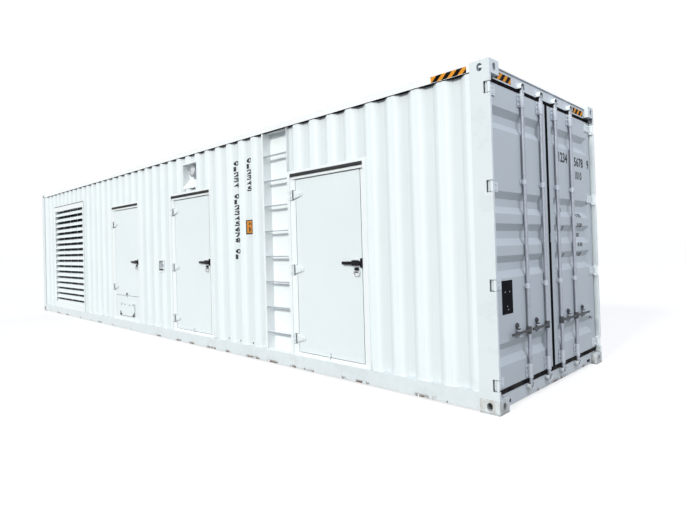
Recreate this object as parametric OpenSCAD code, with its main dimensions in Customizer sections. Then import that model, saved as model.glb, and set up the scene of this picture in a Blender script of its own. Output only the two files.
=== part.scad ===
// Forty-foot high-cube container built as a generator enclosure.
// X runs along the length with the cargo doors at +X, the louvred and doored side faces -Y, and
// the origin is on the ground under the middle.

/* [Container] */
// Length over the corner castings
length = 12192; // [10160:1:14700]
// Width over the corner castings
width = 2438; // [2300:1:2930]
// Height from the ground to the top of the castings
height = 2896; // [2865:1:3480]
// Height of the bottom side rails' top above the ground
rail_top = 160; // [140:1:190]
// Gap under the rails and beams, which the castings bridge
ground_gap = 12; // [8:1:20]
// How far the top castings stand above the roof rails
roof_gap = 16; // [10:1:24]
// Height of the top side rails
top_rail_h = 60; // [50:1:80]
// Depth of the side rails across the container
rail_d = 60; // [50:1:70]
// Wall thickness of rails and beams
rail_t = 5; // [3:1:8]

/* [Corner castings] */
// Casting size along the length
casting_l = 178; // [170:1:190]
// Casting size across the width
casting_w = 162; // [155:1:175]
// Casting height
casting_h = 118; // [110:1:125]
// Casting wall thickness
casting_t = 28; // [22:1:30]
// Length and width of the twist-lock aperture
lock_slot = [124, 63]; // [60:1:130]
// Height and width of the apertures in the sides
side_slot = [68, 50]; // [45:1:90]

/* [Corrugated sheet] */
// Distance from one wave to the next
wave_pitch = 278; // [200:1:340]
// Depth of the side wall waves
wave_depth = 36; // [25:1:45]
// Length of a sloping flank, measured along the wall
wave_flank = 68; // [50:1:80]
// Sheet thickness
sheet_t = 2; // [1.5:0.5:4]
// Outer crests of the wall, inside the overall width
skin_inset = 10; // [8:1:14]
// Flat plate between the corner casting and the first wave
corner_flat = 48; // [20:1:80]
// Distance between the roof's pressed ribs
roof_pitch = 209; // [180:1:260]
// Depth of the roof's pressed ribs
roof_depth = 20; // [12:1:24]

/* [Louvre] */
// Distance from the blank end to the louvre opening
louvre_in = 996; // [700:1:1300]
// Width of the louvre opening
louvre_w = 1820; // [1500:1:2190]
// Height of the louvre opening's bottom above the bottom rail
louvre_rise = 98; // [80:1:200]
// Height of the louvre opening
louvre_h = 2142; // [1780:1:2190]
// Width of the flat border round the louvre
louvre_border = 60; // [40:1:90]
// Height of the flat band over the louvre
louvre_head = 104; // [60:1:140]
// Number of blades
louvre_count = 17; // [12:1:22]
// Depth of a blade from front to back
louvre_depth = 84; // [60:1:95]

/* [Side doors] */
// Left edges of the two recesses near the middle
middle_door_x = [-1693, 663]; // [-2000:1:700]
// Distance from the cargo-door end to the left edge of the third recess
end_door_in = 2535; // [2400:1:2560]
// Width of a door recess
recess_w = 1130; // [930:1:1150]
// Height of the door recesses' top
recess_top = 2243; // [2100:1:2262]
// Gap from the recess edge to the leaf, at the sides
leaf_gap_x = 66; // [60:1:90]
// Gap from the recess edge to the leaf, at the top
leaf_gap_top = 60; // [40:1:80]
// Gap from the recess floor to the leaf
leaf_gap_low = 36; // [30:1:60]
// Bottom of the short leaf over the cable hatch
short_leaf_z = 610; // [560:1:700]
// Leaf thickness
leaf_t = 30; // [24:1:34]
// Depth of the leaf's face behind the frame's face
leaf_set = 35; // [30:1:40]
// Depth of the seat that the leaf closes on
seat_set = 72; // [70:1:80]
// Height of the side doors' handles
handle_z = 1223; // [1000:1:1400]
// Height of the middle hinge of a tall leaf
side_hinge_mid = 1140; // [900:1:1400]

/* [Ladder] */
// Width of the ladder recess, which runs up to the frame of the third door
ladder_w = 453; // [400:1:560]
// Depth of the ladder recess
ladder_depth = 120; // [90:1:150]
// Number of steps
step_count = 8; // [6:1:8]
// Height of the lowest step
step_first = 382; // [300:1:450]
// Distance between steps
step_pitch = 307; // [256:1:330]
// Depth of a ladder rung, from front to back
step_depth = 48; // [30:1:70]
// Thickness of a ladder rung
step_t = 8; // [5:1:12]

/* [Lamp niche and stop box] */
// Left edge of the lamp niche
niche_left = 1070; // [800:1:1300]
// Width of the lamp niche
niche_w = 390; // [325:1:470]
// Height of the lamp niche
niche_h = 345; // [290:1:350]
// Gap from the lamp niche up to the roof rail
niche_drop = 130; // [60:1:140]
// Depth of the lamp niche
niche_depth = 110; // [80:1:140]
// Radius of the floodlight
lamp_r = 64; // [50:1:75]
// Left edge and bottom of the stop box
stop_pos = [196, 1068]; // [150:1:1300]
// Side of the square stop box
stop_size = 200; // [160:1:220]
// Depth of the stop box
stop_depth = 66; // [60:1:90]
// Border round the stop box's mouth
stop_border = 20; // [12:1:40]

/* [Cargo doors] */
// Depth of the doors' face behind the end of the container
cargo_set = 51; // [48:1:56]
// Thickness of a cargo door
cargo_t = 50; // [40:1:55]
// Gaps from the steel leaf to the bottom and top corner castings
cargo_gap = [57, 45]; // [44:1:80]
// Gap from the container's side to the leaf's edge
cargo_edge = 32; // [30:1:40]
// Half the gap between the two steel leaves
cargo_mid = 27; // [20:1:32]
// Height of a pressed groove in the door panel
groove_h = 190; // [150:1:230]
// Depth of a pressed groove
groove_d = 36; // [20:1:40]
// Length of a groove's sloping flank
groove_flank = 62; // [40:1:80]
// Heights of the grooves above and below the middle of the door
groove_offsets = [-998, -268, 6, 280, 994]; // [-1100:1:1100]
// Distances of the lock bars from the middle
bar_y = [175, 575]; // [150:1:600]
// Radius of a lock bar
bar_r = 17; // [14:1:19]
// Height of the lock handles
lever_z = 605; // [500:1:880]
// Length of a lock handle from its bar
lever_l = 350; // [250:1:360]
// Number of hinges on a door
hinge_count = 4; // [3:1:5]
// Distances of the outer hinges from the leaf's bottom and top
hinge_in = [63, 71]; // [60:1:120]
// Heights of the two guides in the middle of each lock bar
guide_z = [1000, 1930]; // [900:1:2200]
// Width and height of the blank marker plate on the left door
marker_size = [194, 285]; // [120:1:320]

/* [Hidden] */
$fn = 48;

white = "white";
steel = "gainsboro";
dark = [0.12, 0.12, 0.13];

half_l = length / 2;
half_w = width / 2;
rail_face = half_w - 3;
rail_inner = rail_face - rail_d;
rail_end = half_l - casting_l;
roof_top = height - roof_gap;
wall_top = roof_top - top_rail_h;
skin_y = half_w - skin_inset;
wave_end = rail_end - corner_flat;
wave_flat = wave_pitch / 2 - wave_flank;
wall_back = 2 * wave_depth - skin_y;
louvre_x = [louvre_in - half_l, louvre_in + louvre_w - half_l];
louvre_z = [rail_top + louvre_rise, rail_top + louvre_rise + louvre_h];
frame_face = skin_y + 4;
frame_t = 4;
flange_w = 45;
eps = 1;

// Corner posts: plate thickness, the lip beside the door, the depth of the stop behind it
post_t = 6;
post_lip = 24;
post_stop = cargo_set + cargo_t + 9;
post_in = half_w - rail_inner;
blank_post_w = 100;
blank_post_d = 60;
post_low = casting_h;
post_top = height - casting_h;

// Floor
deck_t = 28;
deck_low = rail_top - deck_t;
member_h = 105;
member_w = 45;
member_pitch = 300;

// End beams over and under the cargo doors
cargo_z = [casting_h + cargo_gap[0], post_top - cargo_gap[1]];
beam_face = half_l - cargo_set - 5;
sill_top = cargo_z[0] - 46;
header_low = cargo_z[1] + 38;
sill_slot = [94, 30];
sill_slot_in = 97;
sill_slot_z = 36;
blank_beam_out = half_l - post_t;
blank_beam_in = half_l - blank_post_d - post_t;

// Side doors
door_x = [middle_door_x[0], middle_door_x[1], half_l - end_door_in];
leaf_w = recess_w - 2 * leaf_gap_x;
leaf_low = rail_top + frame_t + leaf_gap_low;
leaf_top = recess_top - leaf_gap_top;
leaf_face = frame_face - leaf_set;
leaf_skin = 3;
seat_face = frame_face - seat_set;
seat_w = 75;
seat_return = 50;
side_pin_in = 18;
side_pin_y = half_w - 13;
side_knuckle_r = 12;
side_pin_r = 7;
side_hinge_h = 44;
side_hinge_gap = 2;
side_knuckle_h = 30;
side_hinge_z = [leaf_low + 149, side_hinge_mid, leaf_top - 178];
short_hinge_z = [short_leaf_z + 144, leaf_top - 258];
strap_t = 6;
strap_l = 150;
lock_in = 70;
spindle_r = 6;
side_lever_l = 190;

ladder_x = [door_x[2] - flange_w - ladder_w, door_x[2] - flange_w];
step_set = 6;
ladder_border = 28;
niche_x = [niche_left, niche_left + niche_w];
niche_z = [wall_top - niche_drop - niche_h, wall_top - niche_drop];
niche_border = 22;

// Cable hatch under the short leaf
hatch_w = 610;
hatch_z = [rail_top + 76, rail_top + 302];
hatch_hinge_x = 250;
hatch_lug_w = 36;
hatch_ear_w = 24;
hatch_t = 4;
hatch_y = leaf_face + 6;
hatch_knuckle_r = 6;
hatch_pin_y = hatch_y + 4;
hatch_pin_z = hatch_z[1] + 8;

// Cargo doors, lock bars and hinges
stile_w = 88;
cargo_rail_h = 120;
cargo_skin = 3;
gasket_gap = 6;
gasket_proud = 2;
bar_x = half_l - 29;
door_face = half_l - cargo_set;
door_back = door_face - cargo_t;
door_mid_z = (cargo_z[0] + cargo_z[1]) / 2;
pin_x = half_l - 17;
pin_y = half_w - 15;
knuckle_r = 13;
pin_r = 8;
hinge_span = cargo_z[1] - hinge_in[1] - cargo_z[0] - hinge_in[0];
hinge_z = [for (i = [0 : hinge_count - 1])
    cargo_z[0] + hinge_in[0] + i * hinge_span / (hinge_count - 1)];
blade_h = 84;
blade_l = 150;
arm_t = 10;
bracket_h = 126;
bracket_in = 4;
bracket_foot = 40;
guide_h = 46;
notch_h = 100;
notch_d = 57;
lug_t = 14;
pin_fit = 0.1;
turn_fit = 0.6;
lap_z = 1380;
lap_h = 90;
hub_r = bar_r + 4;
hub_h = 66;
lever_w = 20;
lever_t = 12;
catch_in = 210;
catch_w = 44;
catch_h = [42, 88];
catch_jaw = [24, 10];
cam_h = 16;
cam_half = 13;
cam_reach = 27;
keeper_r = 44;
keeper_wall = 7;
keeper_t = 3;
keeper_set = 10;
bar_over = 20;
bar_low = sill_top - bar_over;
bar_top = header_low + bar_over;

// ---------- helpers ----------

// Depth of the wave behind the outer crests at a place along the wall
function wave_phase(x) = let (u = wave_end - x) u - wave_pitch * floor(u / wave_pitch);
function wave_at(x) =
    abs(x) >= wave_end ? 0 :
    let (u = wave_phase(x))
    u < wave_flank ? wave_depth * u / wave_flank :
    u < wave_flank + wave_flat ? wave_depth :
    u < 2 * wave_flank + wave_flat ? wave_depth * (2 * wave_flank + wave_flat - u) / wave_flank :
    0;
function wave_breaks(x0, x1) = [
    for (k = [-1 : ceil(2 * wave_end / wave_pitch) + 1])
        for (s = [wave_pitch, 2 * wave_flank + wave_flat, wave_flank + wave_flat, wave_flank])
            let (x = wave_end - k * wave_pitch - s)
            if (x > x0 + 0.5 && x < x1 - 0.5 && abs(x) < wave_end) x];
function sorted_x(v) = len(v) <= 1 ? v :
    let (p = v[floor(len(v) / 2)])
    concat(sorted_x([for (a = v) if (a < p) a]), [p], sorted_x([for (a = v) if (a > p) a]));
function wave_x(x0, x1) = sorted_x(concat([x0, x1], wave_breaks(x0, x1),
    [for (x = [-wave_end, wave_end]) if (x > x0 + 0.5 && x < x1 - 0.5) x]));

// A vertical corrugated sheet on the -Y side between two places and two heights
module wave_sheet(x0, x1, z0, z1) {
    xs = wave_x(x0, x1);
    outer = [for (x = xs) [x, wave_at(x) - skin_y]];
    inner = [for (i = [len(xs) - 1 : -1 : 0]) [xs[i], wave_at(xs[i]) - skin_y + sheet_t]];
    translate([0, 0, z0]) linear_extrude(z1 - z0) polygon(concat(outer, inner));
}

// A box between two corners
module block(a, b) {
    translate(a) cube(b - a);
}

// A rectangular ring in the XZ plane, from one Y to another, with its own four borders
module ring(x, z, y, left, right, low, high) {
    difference() {
        block([x[0] - left, y[0], z[0] - low], [x[1] + right, y[1], z[1] + high]);
        block([x[0], y[0] - eps, z[0]], [x[1], y[1] + eps, z[1]]);
    }
}

// A slot with round ends, along X, cut downwards through a plate
module slot(size, t) {
    straight = size[0] - size[1];
    translate([-straight / 2, -size[1] / 2, 0]) cube([straight, size[1], t]);
    for (s = [-1, 1]) translate([s * straight / 2, 0, 0]) cylinder(d = size[1], h = t);
}

// A pin or hole along Y
module rod_y(r, y0, y1) {
    translate([0, y0, 0]) rotate([-90, 0, 0]) cylinder(r = r, h = y1 - y0);
}

module both_sides() {
    children();
    mirror([0, 1, 0]) children();
}

// ---------- frame of the container ----------

module casting() {
    difference() {
        cube([casting_l, casting_w, casting_h]);
        translate([casting_t, casting_t, casting_t])
            cube([casting_l - 2 * casting_t, casting_w - 2 * casting_t, casting_h - 2 * casting_t]);
        translate([casting_l / 2, casting_w / 2, -eps]) slot(lock_slot, casting_h / 2);
        translate([casting_l / 2, -eps, casting_h / 2])
            rotate([-90, 0, 0]) rotate([0, 0, 90]) slot(side_slot, casting_t + 2 * eps);
        translate([-eps, casting_w / 2, casting_h / 2])
            rotate([90, 0, 90]) rotate([0, 0, 90]) slot(side_slot, casting_t + 2 * eps);
    }
}

// Four castings, each with its apertures facing outwards and down
module casting_set() {
    for (x = [0, 1]) for (y = [0, 1])
        mirror([x, 0, 0]) mirror([0, y, 0]) translate([-half_l, -half_w, 0]) casting();
}

module corner_castings() {
    color(white) {
        casting_set();
        translate([0, 0, height]) mirror([0, 0, 1]) casting_set();
    }
}

module bottom_rail() {
    web = rail_face - rail_t;
    block([-rail_end, -rail_face, ground_gap], [rail_end, -web, rail_top]);
    block([-rail_end, -rail_face, ground_gap], [rail_end, -rail_inner, ground_gap + rail_t]);
    block([-rail_end, -rail_face, rail_top - rail_t], [rail_end, -rail_inner, rail_top]);
}

module bottom_rails() {
    color(white) both_sides() bottom_rail();
}

module top_rails() {
    color(white) both_sides() difference() {
        block([-rail_end, -rail_face, wall_top], [rail_end, -rail_inner, roof_top]);
        block([-rail_end - eps, rail_t - rail_face, wall_top + rail_t],
            [rail_end + eps, -rail_inner - rail_t, roof_top - rail_t]);
    }
}

module cross_members() {
    count = floor((2 * rail_end - member_w) / member_pitch);
    start = -count * member_pitch / 2;
    web = rail_face - rail_t;
    color("dimgray") for (i = [0 : count]) {
        x = start + i * member_pitch - member_w / 2;
        difference() {
            block([x, -web, deck_low - member_h], [x + member_w, web, deck_low]);
            block([x + rail_t, -web - eps, deck_low - member_h + rail_t],
                [x + member_w + eps, web + eps, deck_low - rail_t]);
        }
    }
}

module floor_deck() {
    color("burlywood")
        block([-blank_beam_in, -rail_inner, deck_low], [door_back - 10, rail_inner, rail_top]);
}

// Plan of the post beside the cargo doors, measured inwards from the corner
module door_post_plan() {
    square([casting_l, post_t]);
    square([post_t, post_lip]);
    translate([post_stop, 0]) square([post_t + 2, post_in]);
    translate([post_stop, post_in - post_t]) square([casting_l - post_stop, post_t]);
    translate([casting_l - post_t, 0]) square([post_t, post_in]);
}

module door_post() {
    difference() {
        union() {
            translate([0, 0, post_low]) linear_extrude(post_top - post_low) door_post_plan();
            for (z = hinge_z) for (s = [-1, 1])
                translate([2, 2, z + s * (notch_h + lug_t) / 2 - lug_t / 2]) cube([38, 24, lug_t]);
        }
        for (z = hinge_z) {
            translate([-eps, -eps, z - notch_h / 2])
                cube([notch_d + eps, post_lip + 2 * eps, notch_h]);
            translate([half_l - pin_x, half_w - pin_y, z - notch_h])
                cylinder(r = pin_r + pin_fit, h = 2 * notch_h);
        }
    }
}

module door_end_posts() {
    color(white) both_sides()
        translate([half_l, -half_w, 0]) mirror([1, 0, 0]) door_post();
}

module blank_end_posts() {
    color(white) both_sides() translate([-half_l, -half_w, casting_h])
        linear_extrude(post_top - post_low) {
            difference() {
                square([blank_post_d, blank_post_w]);
                translate([post_t, post_t])
                    square([blank_post_d - 2 * post_t, blank_post_w - 2 * post_t]);
            }
            square([casting_l, post_t]);
        }
}

// A hollow beam across the end: its middle fits between the castings and its shallow
// shoulders reach over them to the posts
module end_beam(x0, x1, z0, z1, shoulder, reach) {
    mid = half_w - casting_w;
    difference() {
        union() {
            block([x0, -mid, z0], [x1, mid, z1]);
            block([x0, -reach, shoulder[0]], [x1, reach, shoulder[1]]);
        }
        block([x0 + rail_t, -mid - eps, z0 + rail_t], [x1 - rail_t, mid + eps, z1 - rail_t]);
    }
}

module door_sill() {
    color(white) difference() {
        end_beam(rail_end, beam_face, ground_gap, sill_top, [casting_h, sill_top], rail_inner);
        // Openings beside the castings
        for (s = [-1, 1])
            translate([beam_face - 2 * rail_t, s * (half_w - casting_w - sill_slot_in) - sill_slot[0] / 2,
                sill_slot_z]) cube([2 * rail_t + eps, sill_slot[0], sill_slot[1]]);
    }
}

module door_header() {
    color(white) {
        end_beam(rail_end, beam_face, header_low, roof_top,
            [header_low, post_top], rail_inner);
        block([beam_face, casting_w - half_w, roof_top - 8],
            [beam_face + 10, half_w - casting_w, roof_top]);
    }
}

module blank_end_beams() {
    reach = half_w - blank_post_w;
    color(white) {
        end_beam(-blank_beam_out, -blank_beam_in, ground_gap, rail_top,
            [casting_h, rail_top], reach);
        end_beam(-blank_beam_out, -rail_end, post_top, roof_top,
            [post_top, post_top + rail_t], half_w - casting_w);
    }
}

module blank_end_wall() {
    reach = half_w - blank_post_w;
    count = round(2 * reach / wave_pitch);
    pitch = 2 * reach / count;
    flat = pitch / 2 - wave_flank;
    outer = [for (i = [0 : count - 1]) for (p = [[0, 0], [flat / 2, 0], [flat / 2 + wave_flank, 1],
        [flat * 1.5 + wave_flank, 1], [flat * 1.5 + 2 * wave_flank, 0]])
        if (i == 0 || p[0] > 0) [p[1] * wave_depth, -reach + i * pitch + p[0]]];
    ends = concat(outer, [[0, reach]]);
    inner = [for (i = [len(ends) - 1 : -1 : 0]) ends[i] + [sheet_t, 0]];
    color(white) translate([-blank_beam_out + 4, 0, rail_top])
        linear_extrude(post_top - rail_top) polygon(concat(ends, inner));
}

module roof_panel() {
    x0 = -rail_end;
    x1 = rail_end;
    count = round((x1 - x0) / roof_pitch);
    pitch = (x1 - x0) / count;
    flank = roof_depth;
    crest = pitch / 2 - flank;
    upper = [for (i = [0 : count - 1]) for (p = [[0, 0], [crest / 2, 0], [crest / 2 + flank, -1],
        [crest * 1.5 + flank, -1], [crest * 1.5 + 2 * flank, 0]])
        if (i == 0 || p[0] > 0) [x0 + i * pitch + p[0], p[1] * roof_depth]];
    ends = concat(upper, [[x1, 0]]);
    lower = [for (i = [len(ends) - 1 : -1 : 0]) ends[i] - [0, sheet_t]];
    color(white) translate([0, rail_inner, roof_top - 2]) rotate([90, 0, 0])
        linear_extrude(2 * rail_inner) polygon(concat(ends, lower));
}

// ---------- side walls ----------

// Edges of the openings that reach the bottom rail, from left to right
door_spans = [for (x = door_x) [x - frame_t, x + recess_w + frame_t]];
louvre_span = [louvre_x[0] - frame_t, louvre_x[1] + frame_t];
near_gaps = concat([louvre_span], [door_spans[0], door_spans[1]], [ladder_x], [door_spans[2]]);
far_gaps = concat([louvre_span], door_spans);

// Full-height panels between the openings
module wall_panels(gaps) {
    edges = concat([-rail_end], [for (g = gaps) for (x = g) x], [rail_end]);
    for (i = [0 : len(gaps)])
        wave_sheet(edges[2 * i], edges[2 * i + 1], rail_top, wall_top);
}

// Panels over the louvre and the doors
module wall_lintels() {
    wave_sheet(louvre_span[0], louvre_span[1], louvre_z[1] + frame_t, wall_top);
    wave_sheet(louvre_span[0], louvre_span[1], rail_top, louvre_z[0] - frame_t);
    for (s = door_spans) wave_sheet(s[0], s[1], recess_top + frame_t, wall_top);
}

module near_wall_panels() {
    color(white) difference() {
        wall_panels(near_gaps);
        block([stop_pos[0], -half_w, stop_pos[1]],
            [stop_pos[0] + stop_size, wall_back, stop_pos[1] + stop_size]);
    }
}

module near_wall_lintels() {
    color(white) difference() {
        wall_lintels();
        block([niche_x[0] - frame_t, -half_w, niche_z[0] - frame_t],
            [niche_x[1] + frame_t, wall_back, niche_z[1] + frame_t]);
    }
}

module far_wall_panels() {
    color(white) mirror([0, 1, 0]) wall_panels(far_gaps);
}

module far_wall_lintels() {
    color(white) mirror([0, 1, 0]) wall_lintels();
}

// ---------- louvres ----------

module louvre_frame() {
    skin = [-frame_face, -skin_y];
    ring(louvre_x, louvre_z, skin, louvre_border, louvre_border,
        louvre_z[0] - rail_top, louvre_head);
    ring(louvre_x, louvre_z, [-skin_y, -skin_y + louvre_depth + 12],
        frame_t, frame_t, frame_t, frame_t);
}

module louvre_frames() {
    color(white) both_sides() louvre_frame();
}

module louvre_blade_set() {
    pitch = (louvre_z[1] - louvre_z[0]) / louvre_count;
    rise = pitch - 8;
    front = skin_y - 4;
    lip = 16;
    t = 3;
    for (i = [0 : louvre_count - 1])
        translate([louvre_x[0], -front, louvre_z[0] + i * pitch + 2])
            rotate([90, 0, 90]) linear_extrude(louvre_x[1] - louvre_x[0])
                polygon([[0, 0], [t, 0], [t, lip], [louvre_depth, rise], [louvre_depth, rise + t],
                    [0, lip + t]]);
    for (k = [1, 2, 3])
        translate([louvre_x[0] + k * (louvre_x[1] - louvre_x[0]) / 4, -front + 40, louvre_z[0]])
            cube([t, louvre_depth - 40, louvre_z[1] - louvre_z[0]]);
}

module louvre_blades() {
    color(white) both_sides() louvre_blade_set();
}

// ---------- side doors ----------

// A pressed frame: face flange, return, seat for the leaf and inner return
module door_frame(x0) {
    x = [x0, x0 + recess_w];
    z = [rail_top + frame_t, recess_top];
    seat_x = [x[0] + seat_w, x[1] - seat_w];
    seat_z = [z[0] + seat_w, z[1] - seat_w];
    ring(x, z, [-frame_face, -skin_y], flange_w, flange_w, frame_t, flange_w);
    ring(x, z, [-skin_y, -seat_face], frame_t, frame_t, frame_t, frame_t);
    ring(seat_x, seat_z, [-seat_face, -seat_face + frame_t],
        seat_w + frame_t, seat_w + frame_t, seat_w + frame_t, seat_w + frame_t);
    ring(seat_x, seat_z, [-seat_face, -seat_face + seat_return],
        frame_t, frame_t, frame_t, frame_t);
}

module side_door_frames() {
    color(white) for (x = door_x) door_frame(x);
}

module far_door_frames() {
    color(white) mirror([0, 1, 0]) for (x = door_x) {
        door_frame(x);
        for (z = side_hinge_z) hinge_bracket(x, z);
    }
}

// A sheet-steel leaf: a shallow pan with three stiffeners
module leaf(x0, z0) {
    x = [x0 + leaf_gap_x, x0 + leaf_gap_x + leaf_w];
    z = [z0, leaf_top];
    back = -leaf_face + leaf_t;
    difference() {
        block([x[0], -leaf_face, z[0]], [x[1], back, z[1]]);
        block([x[0] + leaf_skin, -leaf_face + leaf_skin, z[0] + leaf_skin],
            [x[1] - leaf_skin, back + eps, z[1] - leaf_skin]);
    }
    ring([x[0] + 40, x[1] - 40], [z[0] + 40, z[1] - 40], [back - leaf_skin, back], 40, 40, 40, 40);
    for (k = [1, 2, 3])
        translate([x[0], -leaf_face, z[0] + k * (z[1] - z[0]) / 4 - 25])
            cube([leaf_w, leaf_t, leaf_skin]);
}

// The moving half of a side door hinge: knuckle, crank and strap
module hinge_strap(x0, z) {
    pin = x0 + side_pin_in;
    strap_face = leaf_face + strap_t;
    difference() {
        union() {
            translate([pin, -side_pin_y, z - side_hinge_h / 2])
                cylinder(r = side_knuckle_r, h = side_hinge_h);
            block([pin - 5, -side_pin_y, z - side_hinge_h / 2],
                [pin + 5, -leaf_face, z + side_hinge_h / 2]);
            block([pin - 5, -strap_face, z - side_hinge_h / 2],
                [pin + strap_l, -leaf_face, z + side_hinge_h / 2]);
        }
        translate([pin, -side_pin_y, z - side_hinge_h])
            cylinder(r = side_pin_r + turn_fit, h = 2 * side_hinge_h);
    }
}

// The fixed half: two knuckles, their bracket on the frame and the pin through them
module hinge_bracket(x0, z) {
    pin = x0 + side_pin_in;
    reach = side_hinge_h / 2 + side_hinge_gap;
    pin_h = 2 * (reach + side_knuckle_h + side_hinge_gap);
    for (s = [-1, 1]) {
        low = s > 0 ? z + reach : z - reach - side_knuckle_h;
        high = low + side_knuckle_h;
        translate([pin, -side_pin_y, low]) cylinder(r = side_knuckle_r, h = side_knuckle_h);
        block([x0, -side_pin_y - 5, low], [pin, -side_pin_y + 5, high]);
        block([x0 - 40, -half_w + 1, low], [x0 + 8, -frame_face, high]);
    }
    translate([pin, -side_pin_y, z - pin_h / 2]) cylinder(r = side_pin_r, h = pin_h);
}

function door_hinges(i) = i == 0 ? short_hinge_z : side_hinge_z;
function door_low(i) = i == 0 ? short_leaf_z : leaf_low;

module side_hinge_brackets() {
    color(steel) for (i = [0 : 2]) for (z = door_hinges(i)) hinge_bracket(door_x[i], z);
}

// Lock plate, its padlock eye and the drop bolt at the foot of the leaf
module door_fittings(i, hinges, low) {
    edge = door_x[i] + leaf_gap_x + leaf_w;
    for (z = hinges) hinge_strap(door_x[i], z);
    // Lock plate
    difference() {
        block([edge - 130, -leaf_face - 8, handle_z - 38], [edge - 6, -leaf_face, handle_z + 38]);
        translate([edge - lock_in, 0, handle_z]) rod_y(spindle_r + 0.3, -half_w, 0);
    }
    // Hasp under the lock plate, with the slot that a padlock goes through
    hasp = [edge - lock_in - 27, edge - lock_in + 27];
    difference() {
        union() {
            block([hasp[0], -leaf_face - 6, handle_z - 96], [hasp[1], -leaf_face, handle_z - 44]);
            block([hasp[0], -leaf_face - 20, handle_z - 66], [hasp[1], -leaf_face, handle_z - 60]);
        }
        translate([edge - lock_in, -leaf_face - 13, handle_z - 70]) cylinder(r = 4.5, h = 20);
    }
    // Drop bolt: a case on the leaf and a tongue that hangs in front of the sill
    mid = door_x[i] + recess_w / 2;
    block([mid - 16, -leaf_face - 14, low + 4], [mid + 16, -leaf_face, low + 50]);
    block([mid - 11, -leaf_face - 14, low - 24], [mid + 11, -leaf_face - 6, low + 4]);
}

// A lever on a short spindle through the lock plate
module side_handle(i) {
    edge = door_x[i] + leaf_gap_x + leaf_w;
    pivot = edge - lock_in;
    lever_in = leaf_face + 14;
    color(dark) {
        translate([pivot, 0, handle_z]) rod_y(spindle_r, -lever_in - 4, -leaf_face);
        translate([pivot, 0, handle_z]) rod_y(20, -lever_in - 14, -lever_in);
        block([pivot - side_lever_l, -lever_in - 12, handle_z - 13],
            [pivot, -lever_in - 2, handle_z + 13]);
    }
}

module side_handle_1() { side_handle(0); }
module side_handle_2() { side_handle(1); }
module side_handle_3() { side_handle(2); }

module side_door_1() { color(white) leaf(door_x[0], door_low(0)); }
module side_door_2() { color(white) leaf(door_x[1], door_low(1)); }
module side_door_3() { color(white) leaf(door_x[2], door_low(2)); }

module side_door_1_fittings() { color(steel) door_fittings(0, door_hinges(0), door_low(0)); }
module side_door_2_fittings() { color(steel) door_fittings(1, door_hinges(1), door_low(1)); }
module side_door_3_fittings() { color(steel) door_fittings(2, door_hinges(2), door_low(2)); }

module far_doors() {
    color(white) mirror([0, 1, 0]) for (i = [0 : 2]) {
        leaf(door_x[i], leaf_low);
        door_fittings(i, side_hinge_z, leaf_low);
        side_handle(i);
    }
}

// The fixed panel under the short leaf, with the cable opening in it
module hatch_panel() {
    x = [door_x[0] + leaf_gap_x, door_x[0] + leaf_gap_x + leaf_w];
    mid = door_x[0] + recess_w / 2;
    hole_x = [mid - hatch_w / 2 + 20, mid + hatch_w / 2 - 20];
    hole_z = [hatch_z[0] + 14, hatch_z[1] - 20];
    top = short_leaf_z - 8;
    color(white) {
        difference() {
            block([x[0], -leaf_face, rail_top + frame_t], [x[1], -seat_face, top]);
            block([x[0] + frame_t, -leaf_face + frame_t, rail_top + 2 * frame_t],
                [x[1] - frame_t, -seat_face + eps, top - frame_t]);
            block([hole_x[0], -half_w, hole_z[0]], [hole_x[1], 0, hole_z[1]]);
        }
        ring(hole_x, hole_z, [-leaf_face, -seat_face], frame_t, frame_t, frame_t, frame_t);
        for (s = [-1, 1])
            translate([mid + s * hatch_hinge_x - hatch_lug_w / 2, -hatch_pin_y, hatch_pin_z]) {
                rotate([0, 90, 0]) cylinder(r = hatch_knuckle_r, h = hatch_lug_w);
                translate([0, 0, -4]) cube([hatch_lug_w, hatch_pin_y - leaf_face, 8]);
            }
    }
}

module cable_hatch() {
    mid = door_x[0] + recess_w / 2;
    color(white) {
        block([mid - hatch_w / 2, -hatch_y - hatch_t, hatch_z[0]],
            [mid + hatch_w / 2, -hatch_y, hatch_z[1] - 6]);
        for (s = [-1, 1]) for (k = [-1, 1]) {
            ear = s * hatch_hinge_x + k * ((hatch_lug_w + hatch_ear_w) / 2 + 0.2);
            translate([mid + ear - hatch_ear_w / 2, 0, 0]) {
                translate([0, -hatch_pin_y, hatch_pin_z])
                    rotate([0, 90, 0]) cylinder(r = hatch_knuckle_r, h = hatch_ear_w);
                block([0, -hatch_y - hatch_t, hatch_z[1] - 8],
                    [hatch_ear_w, -hatch_y, hatch_pin_z]);
            }
        }
    }
}

// ---------- ladder, lamp and stop box ----------

module ladder_recess() {
    x = [ladder_x[0] + frame_t, ladder_x[1] - frame_t];
    z = [rail_top + frame_t, wall_top - frame_t];
    back = -frame_face + ladder_depth;
    color(white) {
        ring(x, z, [-frame_face, -skin_y], ladder_border, frame_t, frame_t, frame_t);
        ring(x, z, [-skin_y, back], frame_t, frame_t, frame_t, frame_t);
        block([ladder_x[0], back, rail_top], [ladder_x[1], back + frame_t, wall_top]);
    }
}

module ladder_steps() {
    x = [ladder_x[0] + frame_t, ladder_x[1] - frame_t];
    front = -frame_face + step_set;
    color(white) for (i = [0 : step_count - 1]) {
        z = step_first + i * step_pitch;
        block([x[0], front, z - step_t], [x[1], front + step_depth, z]);
    }
}

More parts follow.
